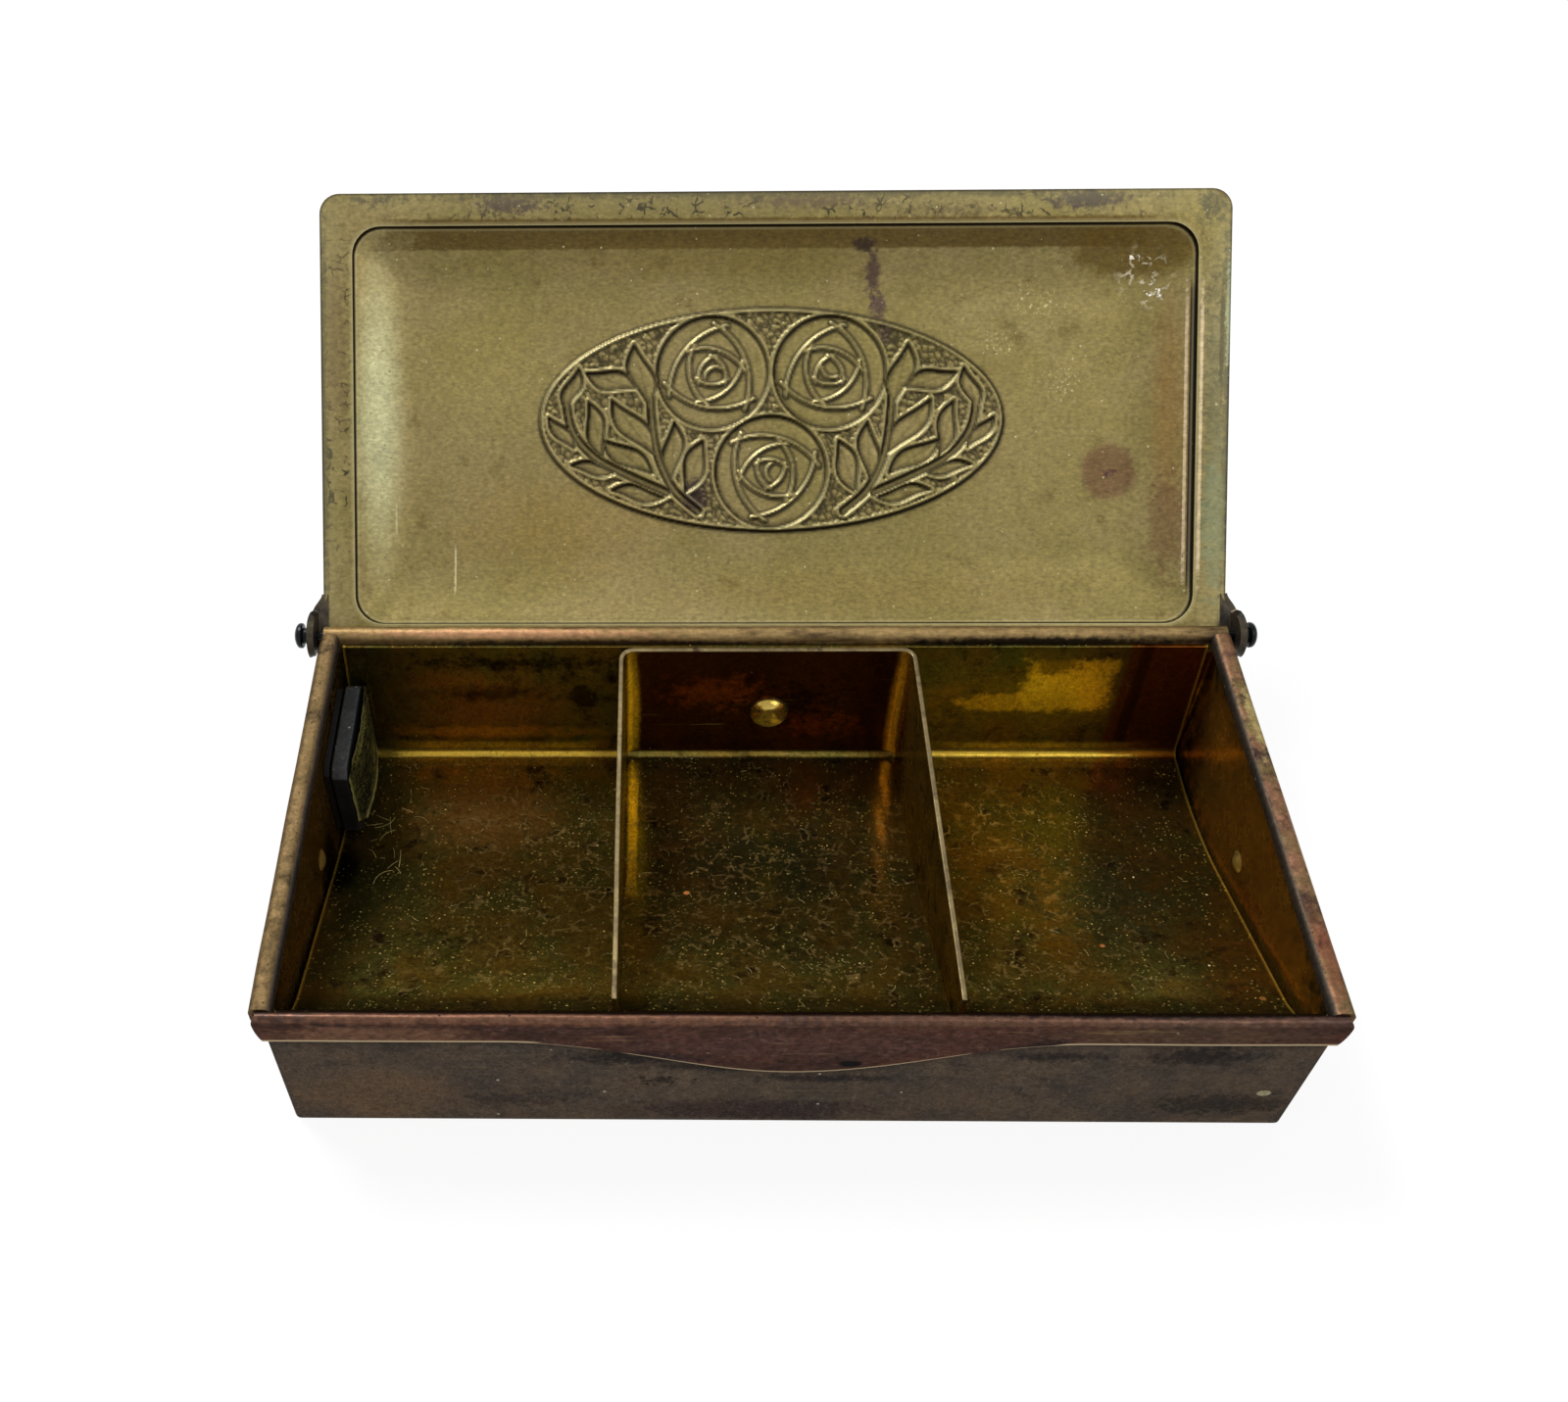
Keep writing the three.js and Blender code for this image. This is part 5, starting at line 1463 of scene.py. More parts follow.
KHAKI = Finish(
    name="sheet brass with a khaki satin patina",
    # Even khaki satin with a faint grain, purple-brown tarnish along the rim; places are
    # in the closed lid's own frame, from the hinge axis
    tones=("7f7147", "75693b", "5f5028"),
    blotch=4, cover=0.24, mottle=0.6, depth=0.18, grain=0.24, brush=2, metallic=0.78,
    # Dark and pale by the mesh's attributes: painted shade and highlights at the step and on the relief,
    # darker crevices in the relief, a darker outer edge
    roughness=(0.4, 0.52), dents=0.05, grime_and_shade="170f05", wear_and_highlight="b8ae7e",
    dust=(
        Dust(0.8, 0.18, 0.4, "5c5030"),
        Dust(1.4, 0.12, 0.4, "a9a074"),
        Dust(3, 0.05, 0.5, "352818"),
        Dust(5, 0.04, 0.5, "d0c8a0"),
    ),
    stains_and_light=(
        # Flange: dark ragged outer edge, purple black marks and cracks
        Block((0, -55.6, 3), (58, 1.3, 6), "26231a", 0.9, 0.6, 2, 0.9),
        Block((57.1, -28, 3), (1.2, 30, 6), "20211a", 0.9, 0.6, 2, 0.9),
        Block((-57.1, -28, 3), (1.1, 30, 6), "38341f", 0.8, 0.6, 2, 0.9),
        Block((0, -53.6, 3), (58, 2.2, 6), "62572f", 0.6, 0.8, 1.4, 1.4),
        Web((0, -53.6, 3), (57, 2.4, 6), "1b170e", 0.95),
        Web((-55, -30, 3), (2.2, 27, 6), "1f1b12", 0.9),
        Web((55, -30, 3), (2.2, 27, 6), "1f1b12", 0.7),
        StainAndLight((-33, -54, 3), (7, 1.9, 6), "3a2c2c", 0.9, 0.6, 2.4, 0.7, 0.1),
        StainAndLight((-50, -54.6, 3), (6, 1.4, 6), "35302a", 0.7, 0.6, 2.4, 0.6, 0.3),
        StainAndLight((4.5, -54.2, 3), (16, 1.7, 6), "4a3a2e", 0.8, 0.6, 2.2, 0.8, 0.2),
        StainAndLight((39, -54.2, 3), (6.2, 1.7, 6), "30252a", 0.92, 0.6, 2, 0.8),
        StainAndLight((22, -53, 3), (14, 2, 6), "4f4028", 0.6, 0.6, 2.4, 0.6, 0.4),
        StainAndLight((54.5, -53.5, 3), (3.4, 3.4, 6), "33342a", 0.75, 0.6, 2.4, 0.6, 0.2),
        StainAndLight((-55, -36, 3), (2, 14, 6), "6a5638", 0.6, 0.6, 1.6, 1.2),
        Block((55.2, -28, 3), (2.2, 29, 6), "565238", 0.85, 0.9, 1.2, 1.2),
        StainAndLight((55.2, -14, 3), (2, 12, 6), "6c7456", 0.6, 0.6, 1.6, 1.2),
        StainAndLight((56, -37, 3), (0.4, 10, 6), "2c2412", 0.8, 0.5, 1.6),
        StainAndLight((56.8, -40, 3), (0.6, 10, 6), "8c9474", 0.7, 0.4, 2.4, 0.8, 0.1),
        # Panel: bands along its sides, clouds and marks
        # Painted highlight on the cushion's left slope
        StainAndLight((-50, -28, 3), (4.2, 25, 6), "abab84", 0.65, 0.9, 0.3, 2.2),
        StainAndLight((-28, -14, 3), (22, 10, 6), "8a6f38", 0.4, 0.9, 1, 1.6),
        StainAndLight((10, -6, 3), (46, 6, 6), "6c5c2e", 0.5, 0.9, 0.8, 1.6),
        StainAndLight((30, -24, 3), (16, 16, 6), "7c6e44", 0.5, 0.9, 0.8, 1.6),
        Block((-40.5, -8.5, 3), (0.16, 3.6, 6), "c0b48c", 0.6, 0.4, 0.5, 0.8),
        Block((-48, -15, 3), (0.14, 2.2, 6), "b0a47c", 0.5, 0.4, 0.5, 0.8),
        StainAndLight((-36, -34, 3), (14, 14, 6), "94854c", 0.4, 0.9, 1, 1.6),
        # Painted shade, orange-brown, on the cushion's right slope
        StainAndLight((50, -28, 3), (3, 22, 6), "7a5c30", 0.6, 0.9, 0.7, 1.2),
        # Painted shade under the top step and along the top of the cushion
        Block((0, -50.5, 3), (53, 1.9, 6), "4c3a10", 0.85, 0.2, 0.3, 1.4),
        StainAndLight((-10, -47.5, 3), (44, 3.6, 6), "6c5a2a", 0.45, 0.9, 0.8, 1.4),
        StainAndLight((45.5, -48.5, 3), (10, 4.4, 6), "54400f", 0.75, 0.4, 0.5, 1.2),
        StainAndLight((42.9, -20.7, 3), (4.4, 4.4, 6), "5a3c2a", 0.7, 0.35, 0.4),
        StainAndLight((42.9, -20.7, 3), (1.8, 1, 6), "45292a", 0.8, 0.6, 2.4, 0.6, 0.3),
        StainAndLight((50, -14, 3), (3, 9, 6), "5d4028", 0.5, 0.6, 1.6, 1.2),
        StainAndLight((12.8, -45.5, 3), (1.2, 4.2, 6), "44312e", 0.85, 0.6, 1.8, 0.7),
        StainAndLight((11.6, -49.2, 3), (2, 1.1, 6), "2e2018", 0.85, 0.6, 1.6, 0.7),
        StainAndLight((13.6, -41.8, 3), (1.5, 2.2, 6), "493634", 0.85, 0.6, 1.6, 0.7),
        StainAndLight((34, -42, 3), (10, 7, 6), "bcb488", 0.75, 0.4, 3, 0.5, 0.85),
        StainAndLight((37, -32, 3), (9, 8, 6), "b8b084", 0.75, 0.4, 3, 0.4, 0.85),
        StainAndLight((29, -37, 3), (6, 5, 6), "bab286", 0.75, 0.4, 3, 0.4, 0.8),
        StainAndLight((43, -36, 3), (8, 9, 6), "5e5026", 0.6, 0.4, 3, 0.5, 0.7),
        StainAndLight((45.6, -47.6, 3), (3.4, 1.8, 6), "f4eedc", 0.9, 0.3, 3, 0.5, 0.85),
        StainAndLight((48.2, -43.2, 3), (2.4, 3.2, 6), "fbf6e6", 0.95, 0.3, 3, 0.6, 0.8),
        StainAndLight((47, -45, 3), (4.2, 4.6, 6), "d8cfb4", 0.5, 0.6, 0.9, 2.2, web=True),
        # Right step: painted shade on its wall, painted highlights on its edges
        Block((52.66, -25, 3), (0.4, 21, 6), "1c0f0a", 0.96, 0.2, 0.2, 2.2),
        Block((51.95, -25, 3), (0.2, 20, 6), "c8b090", 0.7, 0.3, 0.8, 0.8),
        Block((53.5, -25, 3), (0.24, 20, 6), "c8b494", 0.6, 0.3, 0.8, 0.8),
        StainAndLight((-9.7, -17.8, 3), (2.3, 2.8, 6), "3c2a2c", 0.88, 0.6, 1.4, 0.8),
        StainAndLight((14.5, -38.4, 3), (1.2, 1.6, 6), "4b3836", 0.7, 0.6, 1.4, 0.7),
        StainAndLight((0, -0.4, 2), (57, 1.1, 4), "3d2c1c", 0.6, 0.9, 0.8),
    ),
)
EAR = Finish(
    name="sheet brass blackened at the hinge",
    # Near black on the ears' faces
    tones=("4a4133", "302a24", "191715"),
    cloud=2, blotch=1.4, cover=0.4, depth=0.25, metallic=0.7,
)


@dataclass
class Lid(Metalwork):
    """The pressed lid with its flange, stepped cushion panel, relief and ears."""

    relief: Relief = field(default_factory=Relief)
    sheet: float = 0.6
    corner: float = 2.5
    flange: float = 4.1
    rear_flange: float = 1.5
    panel_corner: float = 3.6
    step_rise: float = 0.8
    cushion_width: float = 9.0
    cushion_rise: float = 2.2
    oval_from_hinge: float = 27.4
    ear_sheet: float = 0.9
    ear_gap: float = 0.6
    ear_radius: float = 2.7
    ear_flare: float = 2.5
    ear_shoulder: float = 0.5
    ear_bow: float = 0.1
    ear_overlap: float = 0.62
    ear_start: float = 0.2
    grid: float = 0.2
    # Shares of the dark and pale marks (grime, wear, painted light and shade) and of the stains and painted
    # patches that the outer side shows too
    outer_grime_and_light: float = 0.45
    outer_stains_and_light: float = 0.2
    # Side from which the relief is painted as lit: its slopes there get painted highlights and those behind
    # painted shade
    lit_from: Vector = field(default_factory=lambda: Vector((-0.62, -0.78, 0.0)))

    @property
    def under(self) -> float:
        """Height of the flange's inner face over the hinge axis, lid closed."""
        return self.box.curl + self.box.lid_gap

    @property
    def front(self) -> float:
        """Reach of the lid from the hinge axis to its front edge."""
        return self.box.hinge[0] - self.box.front_y

    @property
    def rear(self) -> float:
        """Reach of the lid behind the hinge axis, so that it stops on the back wall."""
        a = math.radians(self.box.open_angle)
        return (self.under * math.sin(a) + self.box.curl - self.box.sheet - 0.3) / -math.cos(a)

    def opened(self) -> Matrix:
        """Turns the closed lid about its hinge to where it stands open."""
        hinge = Matrix.Translation(Vector((0, self.box.hinge[0], self.box.hinge[1])) * MM)
        return hinge @ Matrix.Rotation(math.radians(-self.box.open_angle), 4, "X")

    def outline(self, low: Point, high: Point, radius: float, steps: int, z: float) -> list[Vector]:
        """A rectangle with round corners, at a height."""
        points: list[Point] = []
        centres = [(high[0] - radius, low[1] + radius), (high[0] - radius, high[1] - radius)]
        centres += [(low[0] + radius, high[1] - radius), (low[0] + radius, low[1] + radius)]
        for i, centre in enumerate(centres):
            points += arc(centre, radius, -90 + 90 * i, 90 * i, steps)
        return [Vector((x, y, z)) for x, y in points]

    def panel_ring(self, inset: float, z: float) -> list[Vector]:
        """The panel's outline drawn in by an inset."""
        half = self.box.length / 2 - self.flange - inset
        low = (-half, -self.front + self.flange + inset)
        high = (half, -self.rear_flange - inset)
        return self.outline(low, high, max(self.panel_corner - inset * 0.6, 1.2), 8, z)

    def rings(self) -> list[tuple[list[Vector], float, float]]:
        """Outlines from the lid's edge to the flat middle, each with its shares of dark and of pale; at the
        step, the pale lines are painted highlights and the dark line at its foot painted shade.
        """
        z = self.under
        low, high = (-self.box.length / 2, -self.front), (self.box.length / 2, self.rear)
        deep = z + self.step_rise
        hem = 0.35
        within = ((low[0] + hem, low[1] + hem), (high[0] - hem, high[1] - 0.3))
        rings = [
            # Each ring's shares of dark and of pale: a darker outer edge; at the step, painted highlights on
            # its edges and painted shade at its foot
            (self.outline(low, high, self.corner, 8, z), 0.75, 0.0),
            (self.outline(*within, self.corner - hem, 8, z), 0.0, 0.15),
            (self.panel_ring(-0.6, z), 0.0, 0.0),
            (self.panel_ring(-0.16, z), 0.0, 0.25),
            (self.panel_ring(-0.06, z + 0.02), 0.0, 0.6),
            (self.panel_ring(-0.02, z + 0.12), 1.0, 0.0),
            (self.panel_ring(0.04, deep - 0.1), 1.0, 0.0),
            (self.panel_ring(0.16, deep), 0.35, 0.0),
            (self.panel_ring(0.22, deep + 0.02), 0.0, 0.25),
            (self.panel_ring(0.5, deep + 0.09), 0.0, 0.0),
        ]
        for i in range(1, 14):
            t = 0.05 + 0.95 * i / 13
            inset = 0.16 + self.cushion_width * t
            rise = self.cushion_rise * math.sin(math.pi / 2 * t)
            rings.append((self.panel_ring(inset, deep + rise), 0.0, 0.0))
        return rings

    def blank(self) -> Shape:
        """The pressed sheet on its inner face, with a rectangular window for the relief."""
        bm = bmesh.new()
        layers = [bm.verts.layers.float.new(name) for name in ("hollow", "wear_and_highlight")]
        rings: list[list[Vert]] = []
        for points, hollow, wear_and_highlight in self.rings():
            ring = [bm.verts.new(p * MM) for p in points]
            for v in ring:
                v[layers[0]], v[layers[1]] = hollow, wear_and_highlight
            rings.append(ring)
        for outer, inner in zip(rings, rings[1:]):
            for i in range(len(outer)):
                bm.faces.new((outer[i - 1], inner[i - 1], inner[i], outer[i]))
        last = rings[-1]
        window = [bm.verts.new(p * MM) for p in self.window()]
        inner_edges = [bm.edges.new((window[i - 1], window[i])) for i in range(4)]
        outer_edges = [bm.edges.get((last[i - 1], last[i])) for i in range(len(last))]
        edges = outer_edges + inner_edges
        bmesh.ops.triangle_fill(bm, use_beauty=True, use_dissolve=False, edges=edges, normal=(0, 0, -1))
        return bm

    def window(self) -> list[Vector]:
        """Corners of the relief's patch on the panel's inner face."""
        x = self.relief.half_length + 0.6
        y = self.relief.half_height + 0.6
        z = self.under + self.step_rise + self.cushion_rise
        middle = -self.oval_from_hinge
        return [Vector((sx * x, middle + sy * y, z)) for sx, sy in ((-1, -1), (1, -1), (1, 1), (-1, 1))]

    def patch(self) -> Shape:
        """The relief's patch: a fine grid raised by the relief."""
        low, high = self.window()[0], self.window()[2]
        columns = round((high.x - low.x) / self.grid)
        rows = round((high.y - low.y) / self.grid)
        bm = bmesh.new()
        bmesh.ops.create_grid(bm, x_segments=columns, y_segments=rows, size=0.5)
        bmesh.ops.scale(bm, vec=(high.x - low.x, high.y - low.y, 1), verts=bm.verts)
        points = np.array([(v.co.x, -v.co.y) for v in bm.verts])
        height, hollow, wear_and_highlight = self.relief.heights(points)
        layers = [bm.verts.layers.float.new(name) for name in ("hollow", "wear_and_highlight")]
        middle = Vector(((low.x + high.x) / 2, (low.y + high.y) / 2, low.z))
        for i, v in enumerate(bm.verts):
            v.co = (middle + Vector((v.co.x, v.co.y, -height[i]))) * MM
        bm.normal_update()
        # Painted light from one side: slopes that face it are painted pale, slopes behind it painted in shade
        for i, v in enumerate(bm.verts):
            lean = v.normal.dot(self.lit_from) * (-1 if v.normal.z > 0 else 1)
            v[layers[0]] = min(max(hollow[i], -2.6 * lean - 0.25, 0.0), 0.95)
            v[layers[1]] = min(max(wear_and_highlight[i] * 0.3, 2.0 * lean - 0.45, 0.0), 0.85) * (1 - hollow[i])
        return bm

    def solid(self, bm: Shape, transform: Matrix) -> Shape:
        """Gives the sheet its thickness on the outer side and opens the lid."""
        bm.normal_update()
        for f in bm.faces:
            if f.normal.z > 0:
                f.normal_flip()
        bm.normal_update()
        shown = bm.verts.layers.float.new("inner")
        place = lambda v: tuple(round(c / MM, 3) for c in v.co)
        inner = {place(v) for v in bm.verts}
        bmesh.ops.solidify(bm, geom=bm.faces[:], thickness=self.sheet * MM)
        bmesh.ops.recalc_face_normals(bm, faces=bm.faces[:])
        hollow, wear_and_highlight = (bm.verts.layers.float[name] for name in ("hollow", "wear_and_highlight"))
        for v in bm.verts:
            v[shown] = 1.0
            if place(v) not in inner:
                v[hollow] *= self.outer_grime_and_light
                v[wear_and_highlight] *= self.outer_grime_and_light
                v[shown] = self.outer_stains_and_light
        bmesh.ops.transform(bm, matrix=transform, verts=bm.verts)
        return bm

    def ear_low(self, y: float) -> float:
        """Height over the hinge axis of an ear's lower edge, at a distance along the lid."""
        if y > -self.ear_radius:
            return -math.sqrt(max(self.ear_radius ** 2 - y * y, 0.0))
        share = min((-self.ear_radius - y) / self.ear_shoulder, 1.0)
        return self.under * (1 - (1 - math.sqrt(share)) ** 2)

    def ear(self, side: int) -> Shape:
        """An ear: the flange's edge curves outwards, turns down and ends round about the hinge."""
        half = self.box.length / 2
        outer = half + self.ear_gap + self.ear_sheet / 2
        start = half - self.ear_start
        top = self.under + self.sheet / 2
        front = -self.ear_radius - self.ear_flare
        flare = [front + (self.ear_flare - self.ear_shoulder) * i / 10 for i in range(11)]
        drop = [-self.ear_radius - self.ear_shoulder * (1 - i / 6) ** 2 for i in range(1, 7)]
        lobe = [-self.ear_radius * math.cos(math.radians(a)) for a in range(8, 173, 8)]
        bm = bmesh.new()
        rows: list[list[Vert]] = []
        for y in flare + drop + lobe:
            share = min(max((y - front) / self.ear_flare, 0.0), 1.0)
            x = start + (outer - start) * share * share * (3 - 2 * share)
            depth = max(top - self.ear_low(y), 0.05)
            bend = min(0.5, depth * 0.9)
            section = [(half - self.ear_overlap, top), (x - bend, top)]
            section += arc((x - bend, top - bend), bend, 90, 0, 5)[1:]
            hang = max(depth - bend, 0.0)
            bow = self.ear_bow * min(hang / 2, 1.0)
            for i in range(1, 7):
                out = x + bow * math.sin(math.pi * i / 6) - bow * (i / 6) ** 2
                section.append((out, top - bend - hang * i / 6))
            y_top = min(y, self.rear)
            place = lambda x, z: (side * x, y_top + (y - y_top) * min((top - z) / depth, 1.0), z)
            rows.append([bm.verts.new(Vector(place(x, z)) * MM) for x, z in section])
        for ahead, behind in zip(rows, rows[1:]):
            for i in range(len(ahead) - 1):
                bm.faces.new((ahead[i], ahead[i + 1], behind[i + 1], behind[i]))
        self.thicken(bm, bm.faces[:], self.ear_sheet * 0.94)
        below = (self.under - 0.2) * MM
        self.mark(bm, 1, lambda face: face.normal.z < -0.25 and face.calc_center_median().z < below)
        bmesh.ops.transform(bm, matrix=self.opened(), verts=bm.verts)
        return bm

    def build(self) -> None:
        """Builds and dresses the lid."""
        b = self.box
        finish = replace(KHAKI, one_sided=True, turn=b.open_angle, pivot=(0.0, *b.hinge)).build()
        ear = EAR.build()
        darkened = ("443d30", "322d24", "1e1b17")
        ear_edge = replace(BARE_EDGE, name="darkened cut edge of the ears", tones=darkened).build()
        made = [
            ("lid_sheet", self.solid(self.blank(), self.opened()), [finish]),
            ("lid_relief", self.solid(self.patch(), self.opened()), [finish]),
            ("lid_ear_left", self.ear(-1), [ear, ear_edge], 0.1, 1),
            ("lid_ear_right", self.ear(1), [ear, ear_edge], 0.1, 1),
        ]
        for name, bm, finishes, *edge in made:
            self.dress(name, bm, finishes, Body.LID, Slot.LID, ["lid"], *edge)


BLUED = Finish(
    name="blued steel",
    # Near black with a cold highlight
    tones=("141618", "1e2225", "0e0f10"),
    cloud=2, blotch=1.2, mottle=0.4, depth=0.15, metallic=0.9, roughness=(0.26, 0.4),
)


@dataclass
class Hinge(Metalwork):
    """The rod through the curl and its two black heads."""

    neck: float = 1.0
    head: float = 1.6
    head_gap: float = 0.3

    def build(self) -> None:
        """Builds and dresses the rod and its heads."""
        finish = [BLUED.build()]
        b = self.box
        centre = Vector((0, *b.hinge))
        start = b.length / 2 + Lid.ear_gap + Lid.ear_sheet + self.head_gap
        bm = bmesh.new()
        reach = start + 0.6
        wire = [(0, -reach), (b.rod, -reach), (b.rod, reach), (0, reach)]
        self.turned(bm, wire, centre, Vector((1, 0, 0)), 24)
        self.dress("hinge_wire", bm, finish, Body.CASE, Slot.STEEL, ["hinge_rod"])
        turns = [math.radians(a) for a in range(0, 91, 10)]
        profile = [(0, 0.0), (self.neck, 0.0), (self.neck, 0.42), (self.head * 0.93, 0.47), (self.head, 0.6)]
        profile += [(self.head * math.cos(a), 0.83 + 0.72 * math.sin(a)) for a in turns]
        for side, word in ((-1, "left"), (1, "right")):
            bm = bmesh.new()
            self.turned(bm, profile, centre + Vector((side * start, 0, 0)), Vector((side, 0, 0)), 40)
            node = "hinge_head_" + word
            self.dress("hinge_button_" + word, bm, finish, Body.CASE, Slot.STEEL, [node])


RUBBER = Finish(
    name="old black rubber",
    # Dull black, greyed by dust and pitted on top
    tones=("2e2f31", "3a3b3c", "141517"),
    cloud=3, blotch=2, mottle=0.5, depth=0.25, metallic=0, specular=0.2, roughness=(0.6, 0.75),
    bump=0.08,
    dust=(Dust(0.6, 0.34, 0.5, "151516"), Dust(0.8, 0.2, 0.5, "58595a"), Dust(1.1, 0.16, 0.9, "c8c8c0")),
    stains_and_light=(
        StainAndLight((-54, 17, 17.3), (3, 10, 0.5), "4a4b4c", 0.7, 0.6, 0.5, 0.6),
        StainAndLight((-54, 17, 17.3), (3, 10, 0.8), "b4b4ac", 0.9, 0.3, 3, 0.35, 0.75),
        # Painted shade on the block's lower front end
        StainAndLight((-54, 8.5, 8), (5, 3, 9), "0a0a0b", 0.8, 0.6, 0.9, 2.2),
    ),
)
FELT = Finish(
    name="olive felt, frayed",
    # Soft dark olive fibres, paler where the edge frays
    tones=("45421a", "26250d", "0b0b06"),
    cloud=0.9, blotch=0.7, cover=0.6, run=(0.7, 2.6, 1), mottle=0.3, depth=0.6, grain=0.5,
    metallic=0, specular=0.08, roughness=(0.9, 0.98), bump=0.15, wear_and_highlight="8c8450",
    dust=(Dust(0.45, 0.34, 0.4, "6a6630"),),
    stains_and_light=(
        StainAndLight((-51.5, 17, 15), (3, 9, 1.6), "8a8040", 0.75, 0.5, 3, 0.45, 0.35),
        StainAndLight((-51.5, 13, 9), (3, 6, 5), "040403", 0.85, 0.5, 3, 0.6, 0.35),
        StainAndLight((-51.5, 20, 8), (3, 6, 4), "6a6228", 0.7, 0.5, 3, 0.5, 0.5),
        StainAndLight((-51.5, 16, 14), (3, 9, 2.4), "050503", 0.8, 0.4, 3, 0.35, 0.6),
    ),
)


@dataclass
class Pad(Metalwork):
    """The black block and its frayed facing, on the left wall."""

    backing: float = 0.7
    slot: float = 0.3
    thick: float = 2.0
    height: float = 13.8
    length: float = 15.4
    chamfer: float = 2.2
    bulge: float = 0.9
    felt_up: float = 2.4
    fray_seed: int = 5
    fray_count: int = 110

    def side(self, length: float) -> list[Point]:
        """Outline of the block seen from the side."""
        low_y = self.box.tray_back_y - 0.7 - self.length / 2 - length / 2
        high_y = low_y + length
        low = self.box.tray_floor_z + 1.7
        high = low + self.height
        c, d = self.chamfer, self.chamfer / 2
        return [
            (low_y + c, low), (high_y - c, low), (high_y, low + c), (high_y, high - d),
            (high_y - d, high), (low_y + d, high), (low_y, high - d), (low_y, low + c),
        ]

    def reach(self) -> list[Point]:
        """Where the block begins and ends along Y and Z."""
        return [(min(values), max(values)) for values in zip(*self.side(self.length))]

    def plate(self, x: float, thickness: float, length: float) -> Shape:
        """A flat block standing along the wall."""
        bm = bmesh.new()
        verts = [bm.verts.new(Vector((x, y, z)) * MM) for y, z in self.side(length)]
        face = bm.faces.new(verts)
        bmesh.ops.extrude_face_region(bm, geom=[face])
        bmesh.ops.translate(bm, vec=(thickness * MM, 0, 0), verts=verts)
        bmesh.ops.recalc_face_normals(bm, faces=bm.faces[:])
        bmesh.ops.triangulate(bm, faces=[f for f in bm.faces if len(f.verts) > 4])
        return bm

    def facing(self, x: float) -> Shape:
        """The felt: a sheet that bulges away from the block between its ends."""
        (low_y, high_y), (low, high) = self.reach()
        low += self.felt_up
        bm = bmesh.new()
        rows, columns = 12, 20
        bmesh.ops.create_grid(bm, x_segments=columns, y_segments=rows, size=0.5)
        for v in bm.verts:
            s, t = v.co.x + 0.5, v.co.y + 0.5
            y, z = low_y + (high_y - low_y) * s, low + (high - low) * t
            cut = max(0.0, self.chamfer - min(y - low_y, high_y - y))
            z = min(max(z, low + cut), high - cut * 0.5)
            lift = self.bulge * 4 * s * (1 - s) * (1.15 - 0.5 * t)
            fray = noise.noise(Vector((y, z, 3.0)) * 1.3) * 0.12
            v.co = Vector((x + 0.2 + lift + fray, y, z)) * MM
        bmesh.ops.solidify(bm, geom=bm.faces[:], thickness=0.35 * MM)
        bmesh.ops.recalc_face_normals(bm, faces=bm.faces[:])
        edge = lambda place: min(place.y - low_y, high_y - place.y, place.z - low, high - place.z)
        self.shade(bm, "wear_and_highlight", lambda place: 0.85 - edge(place) / (0.5 + 0.5 * noise.noise(place * 2)))
        return bm

    def fray(self, x: float) -> Shape:
        """Loose fibres that stand out from the facing's upper and front edges."""
        draw = random.Random(self.fray_seed)
        (low_y, high_y), (_, high) = self.reach()
        bm = bmesh.new()
        for _ in range(self.fray_count):
            s = draw.random()
            y = low_y + (high_y - low_y) * s
            z = high - draw.uniform(0.0, 0.3) - max(0.0, self.chamfer - min(y - low_y, high_y - y)) * 0.5
            lift = self.bulge * 4 * s * (1 - s) * 0.65
            place = Vector((x + 0.35 + lift, y, z))
            heading = Vector((draw.uniform(0.2, 1), draw.uniform(-1, 1), draw.uniform(-0.5, 0.7)))
            heading.normalize()
            curl = Vector((draw.uniform(-1, 1), draw.uniform(-1, 1), draw.uniform(-1.2, 0.2))) * 0.5
            length = draw.uniform(0.3, 1.1)
            line = [place + heading * length * t + curl * length * t * t for t in (0, 0.25, 0.5, 0.75, 1.0)]
            self.tube(bm, line, draw.uniform(0.02, 0.035), 4)
        return bm

    def build(self) -> None:
        """Builds and dresses the pad."""
        rubber, felt = [RUBBER.build()], [FELT.build()]
        # A black copy of the rubber, painted shade, for the backing and the block's sides
        black = {"name": "old black rubber in painted shade", "tones": ("0c0c0d", "121213", "08080a")}
        shaded = [replace(RUBBER, **black, dust=(), stains_and_light=()).build()]
        wall = -(self.box.wall_x - self.box.sheet)
        block = wall + self.box.sheet_fit + self.backing + self.slot
        backing = self.plate(wall + 0.05, self.backing, self.length - 1)
        thick = self.plate(block, self.thick, self.length)
        # The block's sides and underside take the black copy: painted shade
        self.mark(thick, 1, lambda face: face.normal.z < 0.3)
        made = [
            ("pad_plate", backing, shaded, Slot.RUBBER, ["pad_backing"], 0.1),
            ("pad_rubber", thick, rubber + shaded, Slot.RUBBER, ["pad_block"], 0.25),
            ("pad_felt", self.facing(block + self.thick), felt, Slot.FELT, ["pad_facing"]),
            ("pad_fray", self.fray(block + self.thick), felt, Slot.FELT, []),
        ]
        for name, bm, finishes, slot, nodes, *edge in made:
            self.dress(name, bm, finishes, Body.CASE, slot, nodes, *edge)


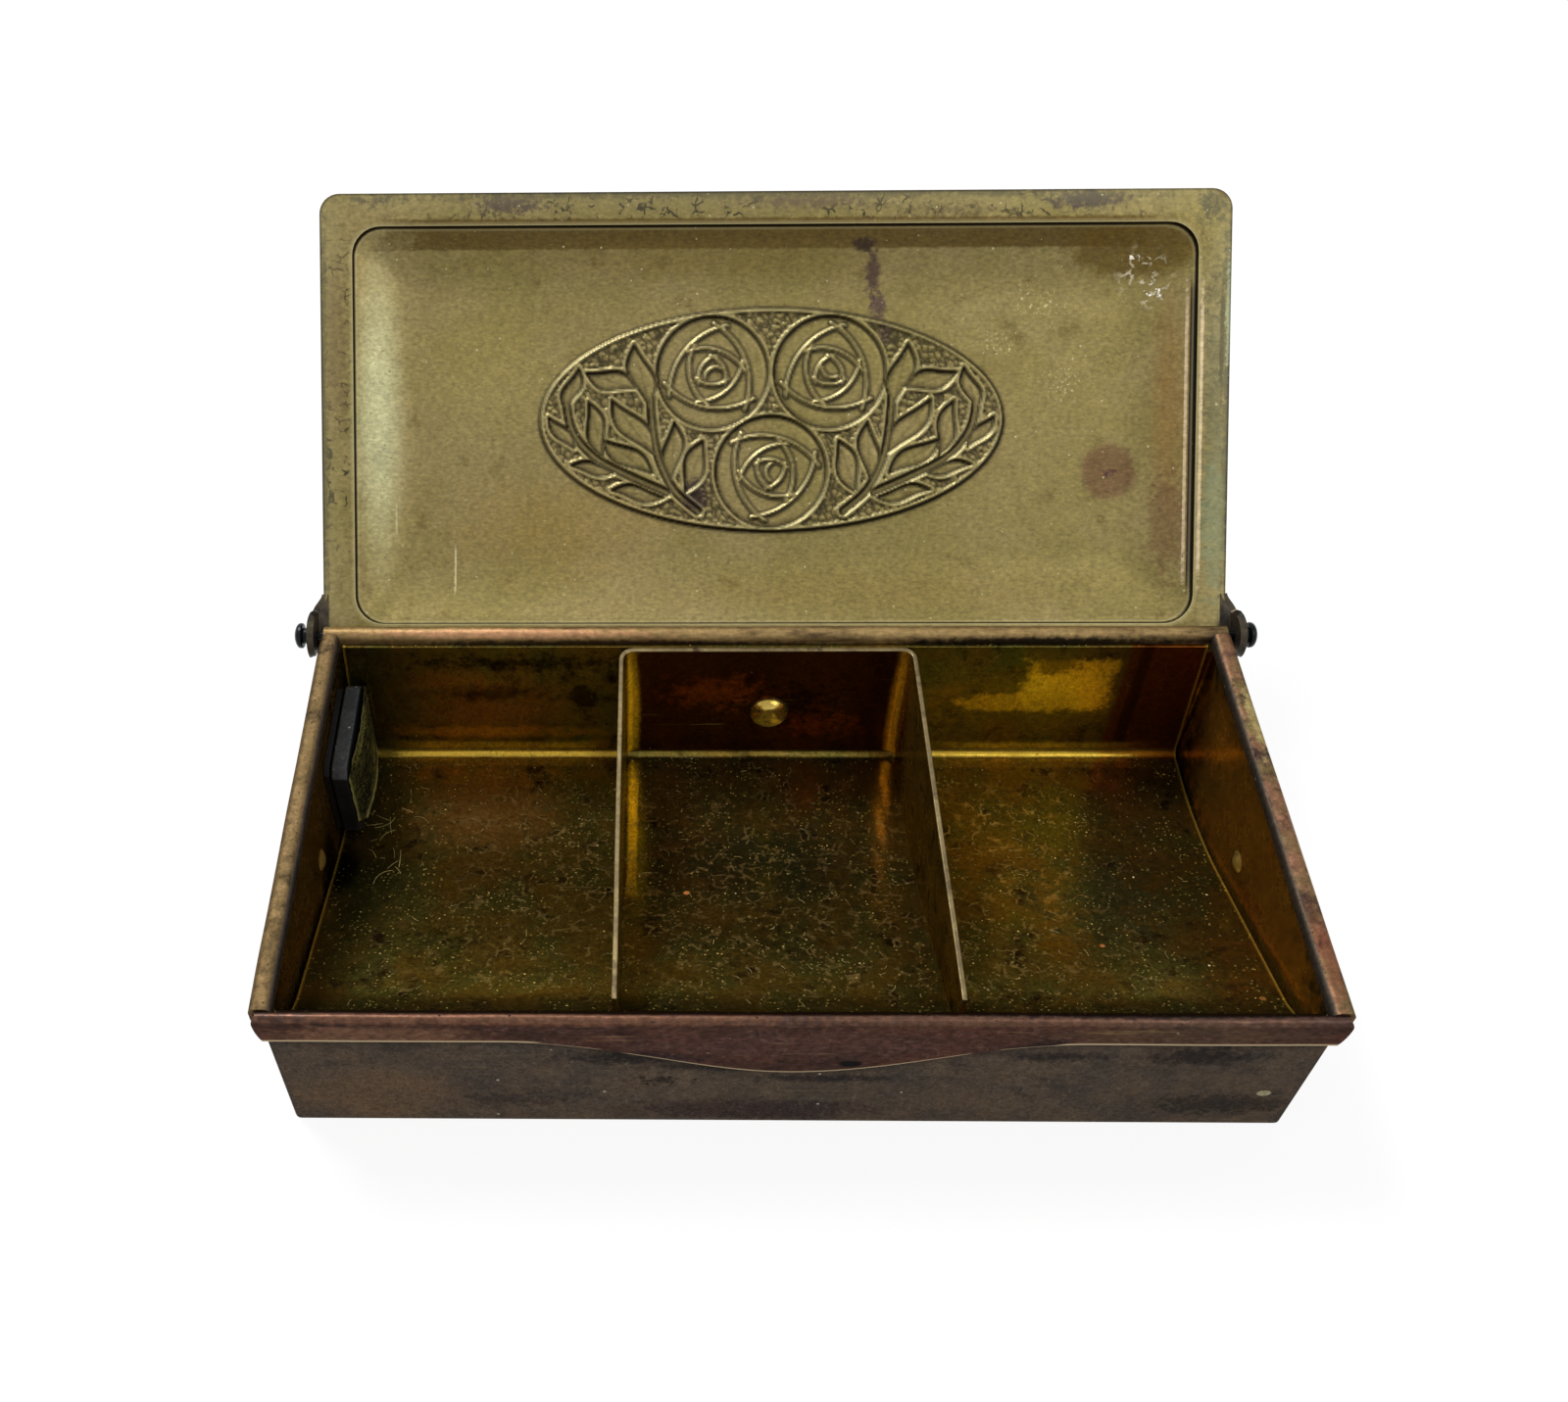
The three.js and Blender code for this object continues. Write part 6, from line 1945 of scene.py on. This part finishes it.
@dataclass
class Studio:
    """The pale floor, the soft light and the camera at the photograph's place."""

    eye: Triple = (-14.33, -108.43, 165.94)
    yaw: float = -1.76
    pitch: float = 49.02
    roll: float = -1.33
    focal_px: float = 1596.46
    image: tuple[int, int] = (1600, 1431)
    centre_x_px: float = 640.0
    sensor: float = 36.0

    def camera(self) -> None:
        """Sets the camera."""
        yaw, pitch, roll = (math.radians(v) for v in (self.yaw, self.pitch, self.roll))
        ahead = Vector((math.sin(yaw) * math.cos(pitch), math.cos(yaw) * math.cos(pitch), -math.sin(pitch)))
        level = Vector((math.cos(yaw), -math.sin(yaw), 0))
        upright = level.cross(ahead)
        right = level * math.cos(roll) + upright * math.sin(roll)
        up = -level * math.sin(roll) + upright * math.cos(roll)
        data = bpy.data.cameras.new("camera")
        data.sensor_width = self.sensor
        data.lens = self.focal_px / self.image[0] * self.sensor
        data.shift_x = (self.image[0] / 2 - self.centre_x_px) / self.image[0]
        data.clip_start = 0.01
        camera = placed("camera", data)
        turn = Matrix((right, up, -ahead)).transposed().to_4x4()
        camera.matrix_world = Matrix.Translation(Vector(self.eye) * MM) @ turn
        bpy.context.scene.camera = camera

    def floor(self) -> None:
        """Lays the floor, pale to the camera and to the metal's reflections."""
        bm = bmesh.new()
        bmesh.ops.create_grid(bm, x_segments=2, y_segments=2, size=20.0)
        mesh = bpy.data.meshes.new("floor")
        bm.to_mesh(mesh)
        bm.free()
        floor = placed("floor", mesh)
        material = bpy.data.materials.new("matt white paper")
        tree = empty_tree(material)
        lit = add(tree, "BsdfDiffuse", Color=linear("f2f2f2")).outputs[0]
        white = add(tree, "Emission", Color=(1, 1, 1, 1), Strength=1.0).outputs[0]
        path = add(tree, "LightPath").outputs
        seen = add(tree, "Math", operation="MAXIMUM", i0=path["Is Camera Ray"], i1=path["Is Glossy Ray"])
        coord = add(tree, "TexCoord").outputs["Object"]
        away = add(tree, "VectorMath", operation="LENGTH", i0=coord).outputs["Value"]
        # Shadows show near the box and fade to white half a metre away
        fade = {"From_Min": 0.15, "From_Max": 0.5, "To_Min": 0.88, "To_Max": 1.0}
        plain = add(tree, "MapRange", Value=away, **fade).outputs[0]
        share = add(tree, "Math", operation="MULTIPLY", i0=seen.outputs[0], i1=plain).outputs[0]
        mixed = add(tree, "MixShader", i0=share, i1=lit, i2=white).outputs[0]
        add(tree, "OutputMaterial", Surface=mixed)
        mesh.materials.append(material)

    def lamp(self, name: str, place: Triple, size: float, power: float) -> None:
        """Hangs a soft lamp that looks at the box."""
        data = bpy.data.lights.new(name, "AREA")
        data.energy = power
        data.size = size
        lamp = placed(name, data)
        look = (Vector((0, 0, 0.02)) - Vector(place)).to_track_quat("-Z", "Y")
        lamp.matrix_world = Matrix.Translation(place) @ look.to_matrix().to_4x4()

    def world(self) -> None:
        """A white surround for the eye and for reflections, a plain level for the light."""
        world = bpy.data.worlds.new("surround")
        bpy.context.scene.world = world
        tree = empty_tree(world)
        path = add(tree, "LightPath").outputs
        seen = path["Is Camera Ray"]
        for ray in ("Is Transmission Ray", "Is Glossy Ray"):
            seen = add(tree, "Math", operation="MAXIMUM", i0=seen, i1=path[ray]).outputs[0]
        strength = add(tree, "MapRange", Value=seen, To_Min=0.7).outputs[0]
        light = add(tree, "Background", Color=(1, 1, 1, 1), Strength=strength)
        add(tree, "OutputWorld", Surface=light.outputs[0])

    def build(self) -> None:
        """Sets camera, floor, light and view."""
        self.camera()
        self.floor()
        self.lamp("key", (-0.75, 0.75, 1.6), 0.6, 30.0)
        self.lamp("fill", (0.9, -0.6, 1.5), 1.0, 8.0)
        self.world()
        bpy.context.scene.view_settings.view_transform = "Standard"


def main() -> None:
    """Builds the studio and every sub-assembly."""
    logging.basicConfig(level=logging.INFO, format="%(message)s")
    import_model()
    sizes = BoxSizes()
    Studio().build()
    case, inside = Case(sizes), Inside(sizes)
    golden, bare = GOLDEN.build(), BARE_EDGE.build()
    case.build(golden, bare)
    inside.build(golden, bare)
    Lid(sizes).build()
    Hinge(sizes).build()
    Pad(sizes).build()


if __name__ == "__main__":
    main()
